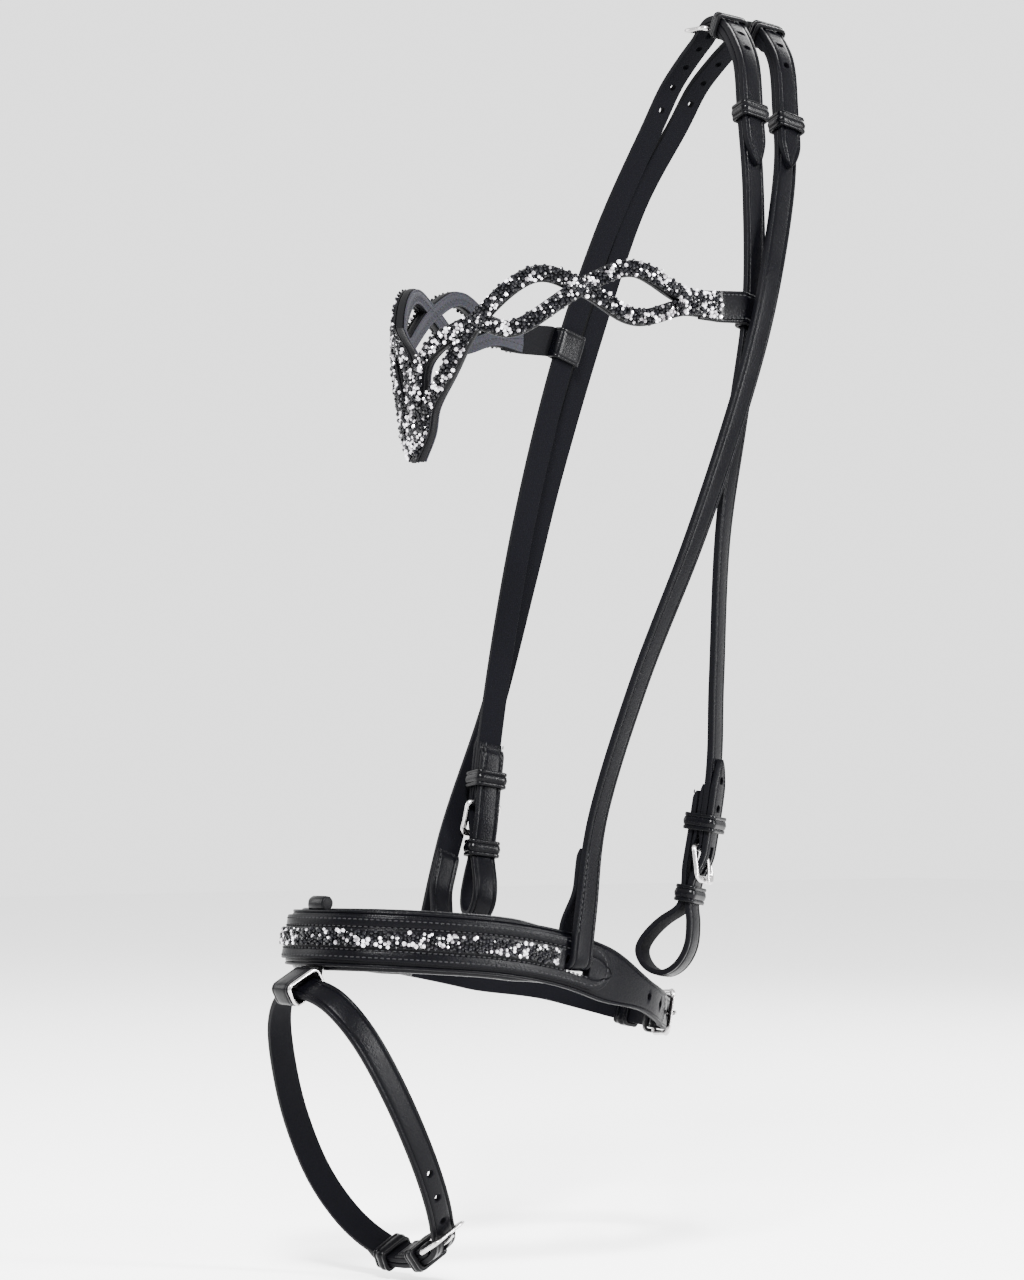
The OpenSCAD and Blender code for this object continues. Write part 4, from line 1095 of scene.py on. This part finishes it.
tip = jaw.h + JAW_TIP
stations = np.vstack([reverse(JAW_CHAPE.fold()),
    layer(FLASH, to_tip(18, tip), jaw.rise, tip_width(FLASH_W, tip), FLASH_T)])
strap = sweep("flash_leather", even(stations), GROOVED)
drill(strap, [notch(JAW_CHAPE)] + [hole(FLASH, s, 0) for s in pitched(jaw, -3, -1)])
drill(strap, [tongue_slit(jaw)] + [hole(FLASH, s, jaw.top) for s in pitched(jaw, 3, 3)])
finish(strap, "flash", "black_leather", BRIDLE_LEATHER, "flash_strap")
print("flash made")

# %% [markdown]
# ## Stitch rows on the straps
# Wherever two layers are joined, two rows of thread run near the edges: at each folded end, along the
# hangers above the noseband, and where the bit billets are sewn in.

# %% Strap stitches
def rows(name, body, stations, w, lift=-0.05, inset=1.7):
    for i, x in enumerate((w / 2 - inset, inset - w / 2)):
        finish(stitches(f"{name}_{i}", stations, x, lift), body, "black_leather", THREAD)


for key, b in BUCKLES.items():
    if key.endswith("bit"):
        continue
    chape = CHIN_CHAPE if key == "chin" else JAW_CHAPE if key == "flash" else b
    s = run(chape.h + chape.way * 6, chape.h + chape.way * (FOLD_LEN - 2))
    inner = layer(chape.route, s, chape.fold_lift, chape.w, FOLD_T, 1, -1)
    outer = layer(chape.route, s, 0, chape.w, chape.chape_t)
    rows(key + "_thread_in", BODY[key], inner, chape.w)
    rows(key + "_thread_out", BODY[key], outer, chape.w)
for key in ("near_bit", "far_bit"):
    b = BUCKLES[key]
    s = run(b.h + b.way * 6, b.h + b.way * (FOLD_LEN - 2))
    rows(key + "_thread_in", "headstall", layer(FRONT, s, -6.2, STRAP_W, BILLET_T, 1, -1), STRAP_W)
    rows(key + "_thread_out", "headstall", layer(FRONT, s, 0, STRAP_W, STRAP_T), STRAP_W)
for label, way in (("near_hanger", 1), ("far_hanger", -1)):
    end = REAR.s[-1] if way > 0 else REAR.s[0]
    s = run(end - way * 22, end - way * (HANGER_DROP + 54))
    inner = -STRAP_T / 2 - FOLD_SLIT - BILLET_T / 2
    rows(label + "_thread_out", "headstall", layer(REAR, s, 0, STRAP_W, STRAP_T), STRAP_W)
    s = run(end - way * 48, end - way * (HANGER_DROP + 54))
    rows(label + "_thread_in", "headstall", layer(REAR, s, inner, STRAP_W, BILLET_T, 1, -1), STRAP_W)
print("stitch rows made")

# %% [markdown]
# ## Floor, light and camera
# A pale floor and soft studio lights: a key from the near front and above, a fill from the far front, a rim
# light from the far side behind and one from the near side behind, so that black leather shows its edges.
# The camera stands at the near front, a little below the bridle's middle, and looks slightly up.

# %% Floor, lights and camera
def paint(name, color, rough):
    mat, tree, shader, link = new_material(name)
    shader.inputs["Base Color"].default_value = (*color, 1)
    shader.inputs["Roughness"].default_value = rough
    return mat


FLOOR_HALF, FLOOR_GAP = 6.0, 0.004
corners = np.full((4, 3), cad_low[2] - FLOOR_GAP)
corners[:, :2] = np.array([[-1, -1], [1, -1], [1, 1], [-1, 1]]) * FLOOR_HALF
floor = to_mesh("floor", corners / MM, np.array([[0, 1, 2, 3]]))
floor.data.materials.append(paint("pale_floor", (0.9, 0.9, 0.9), 0.9))
floor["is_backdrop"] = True


def area_light(name, place, target, width, height, power):
    light = bpy.data.lights.new(name, "AREA")
    light.shape, light.size, light.size_y, light.energy = "RECTANGLE", width, height, power
    obj = bpy.data.objects.new(name, light)
    bpy.context.scene.collection.objects.link(obj)
    obj.location = place
    d = mathutils.Vector(target) - mathutils.Vector(place)
    obj.rotation_euler = d.to_track_quat("-Z", "Y").to_euler()
    return obj


aim = (0, -0.12, -0.34)
area_light("key", (1.5, -1.5, 1.5), aim, 0.6, 0.6, 430)
area_light("fill", (-1.6, -1.6, 0.4), aim, 1.2, 1.2, 45)
area_light("rim", (-0.8, 1.7, 1.0), aim, 1.4, 1.0, 60)
area_light("side", (1.9, 0.9, 0.1), aim, 0.4, 1.4, 200)

camera = bpy.data.cameras.new("camera")
camera.lens, camera.sensor_width, camera.sensor_fit = 100, 36, "AUTO"
camera_obj = bpy.data.objects.new("camera", camera)
bpy.context.scene.collection.objects.link(camera_obj)
camera_obj.location = (1.5135, -1.3422, -0.4324)
turned, tilted = np.radians(52), np.radians(2.4)
level = np.cos(tilted)
look = mathutils.Vector((-np.sin(turned) * level, np.cos(turned) * level, np.sin(tilted)))
camera_obj.rotation_euler = look.to_track_quat("-Z", "Y").to_euler()
bpy.context.scene.camera = camera_obj

world = bpy.data.worlds.new("studio")
world.use_nodes = True
world.node_tree.nodes["Background"].inputs["Color"].default_value = (1, 1, 1, 1)
world.node_tree.nodes["Background"].inputs["Strength"].default_value = 2.2
bpy.context.scene.world = world

# %% [markdown]
# ## Size
# The visual model's box in millimetres is printed, to set beside the CAD model's box printed at the start.

# %% Size and finish
low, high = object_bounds()
print("visual box in mm:", [round(v / MM) for v in (*low, *high)])
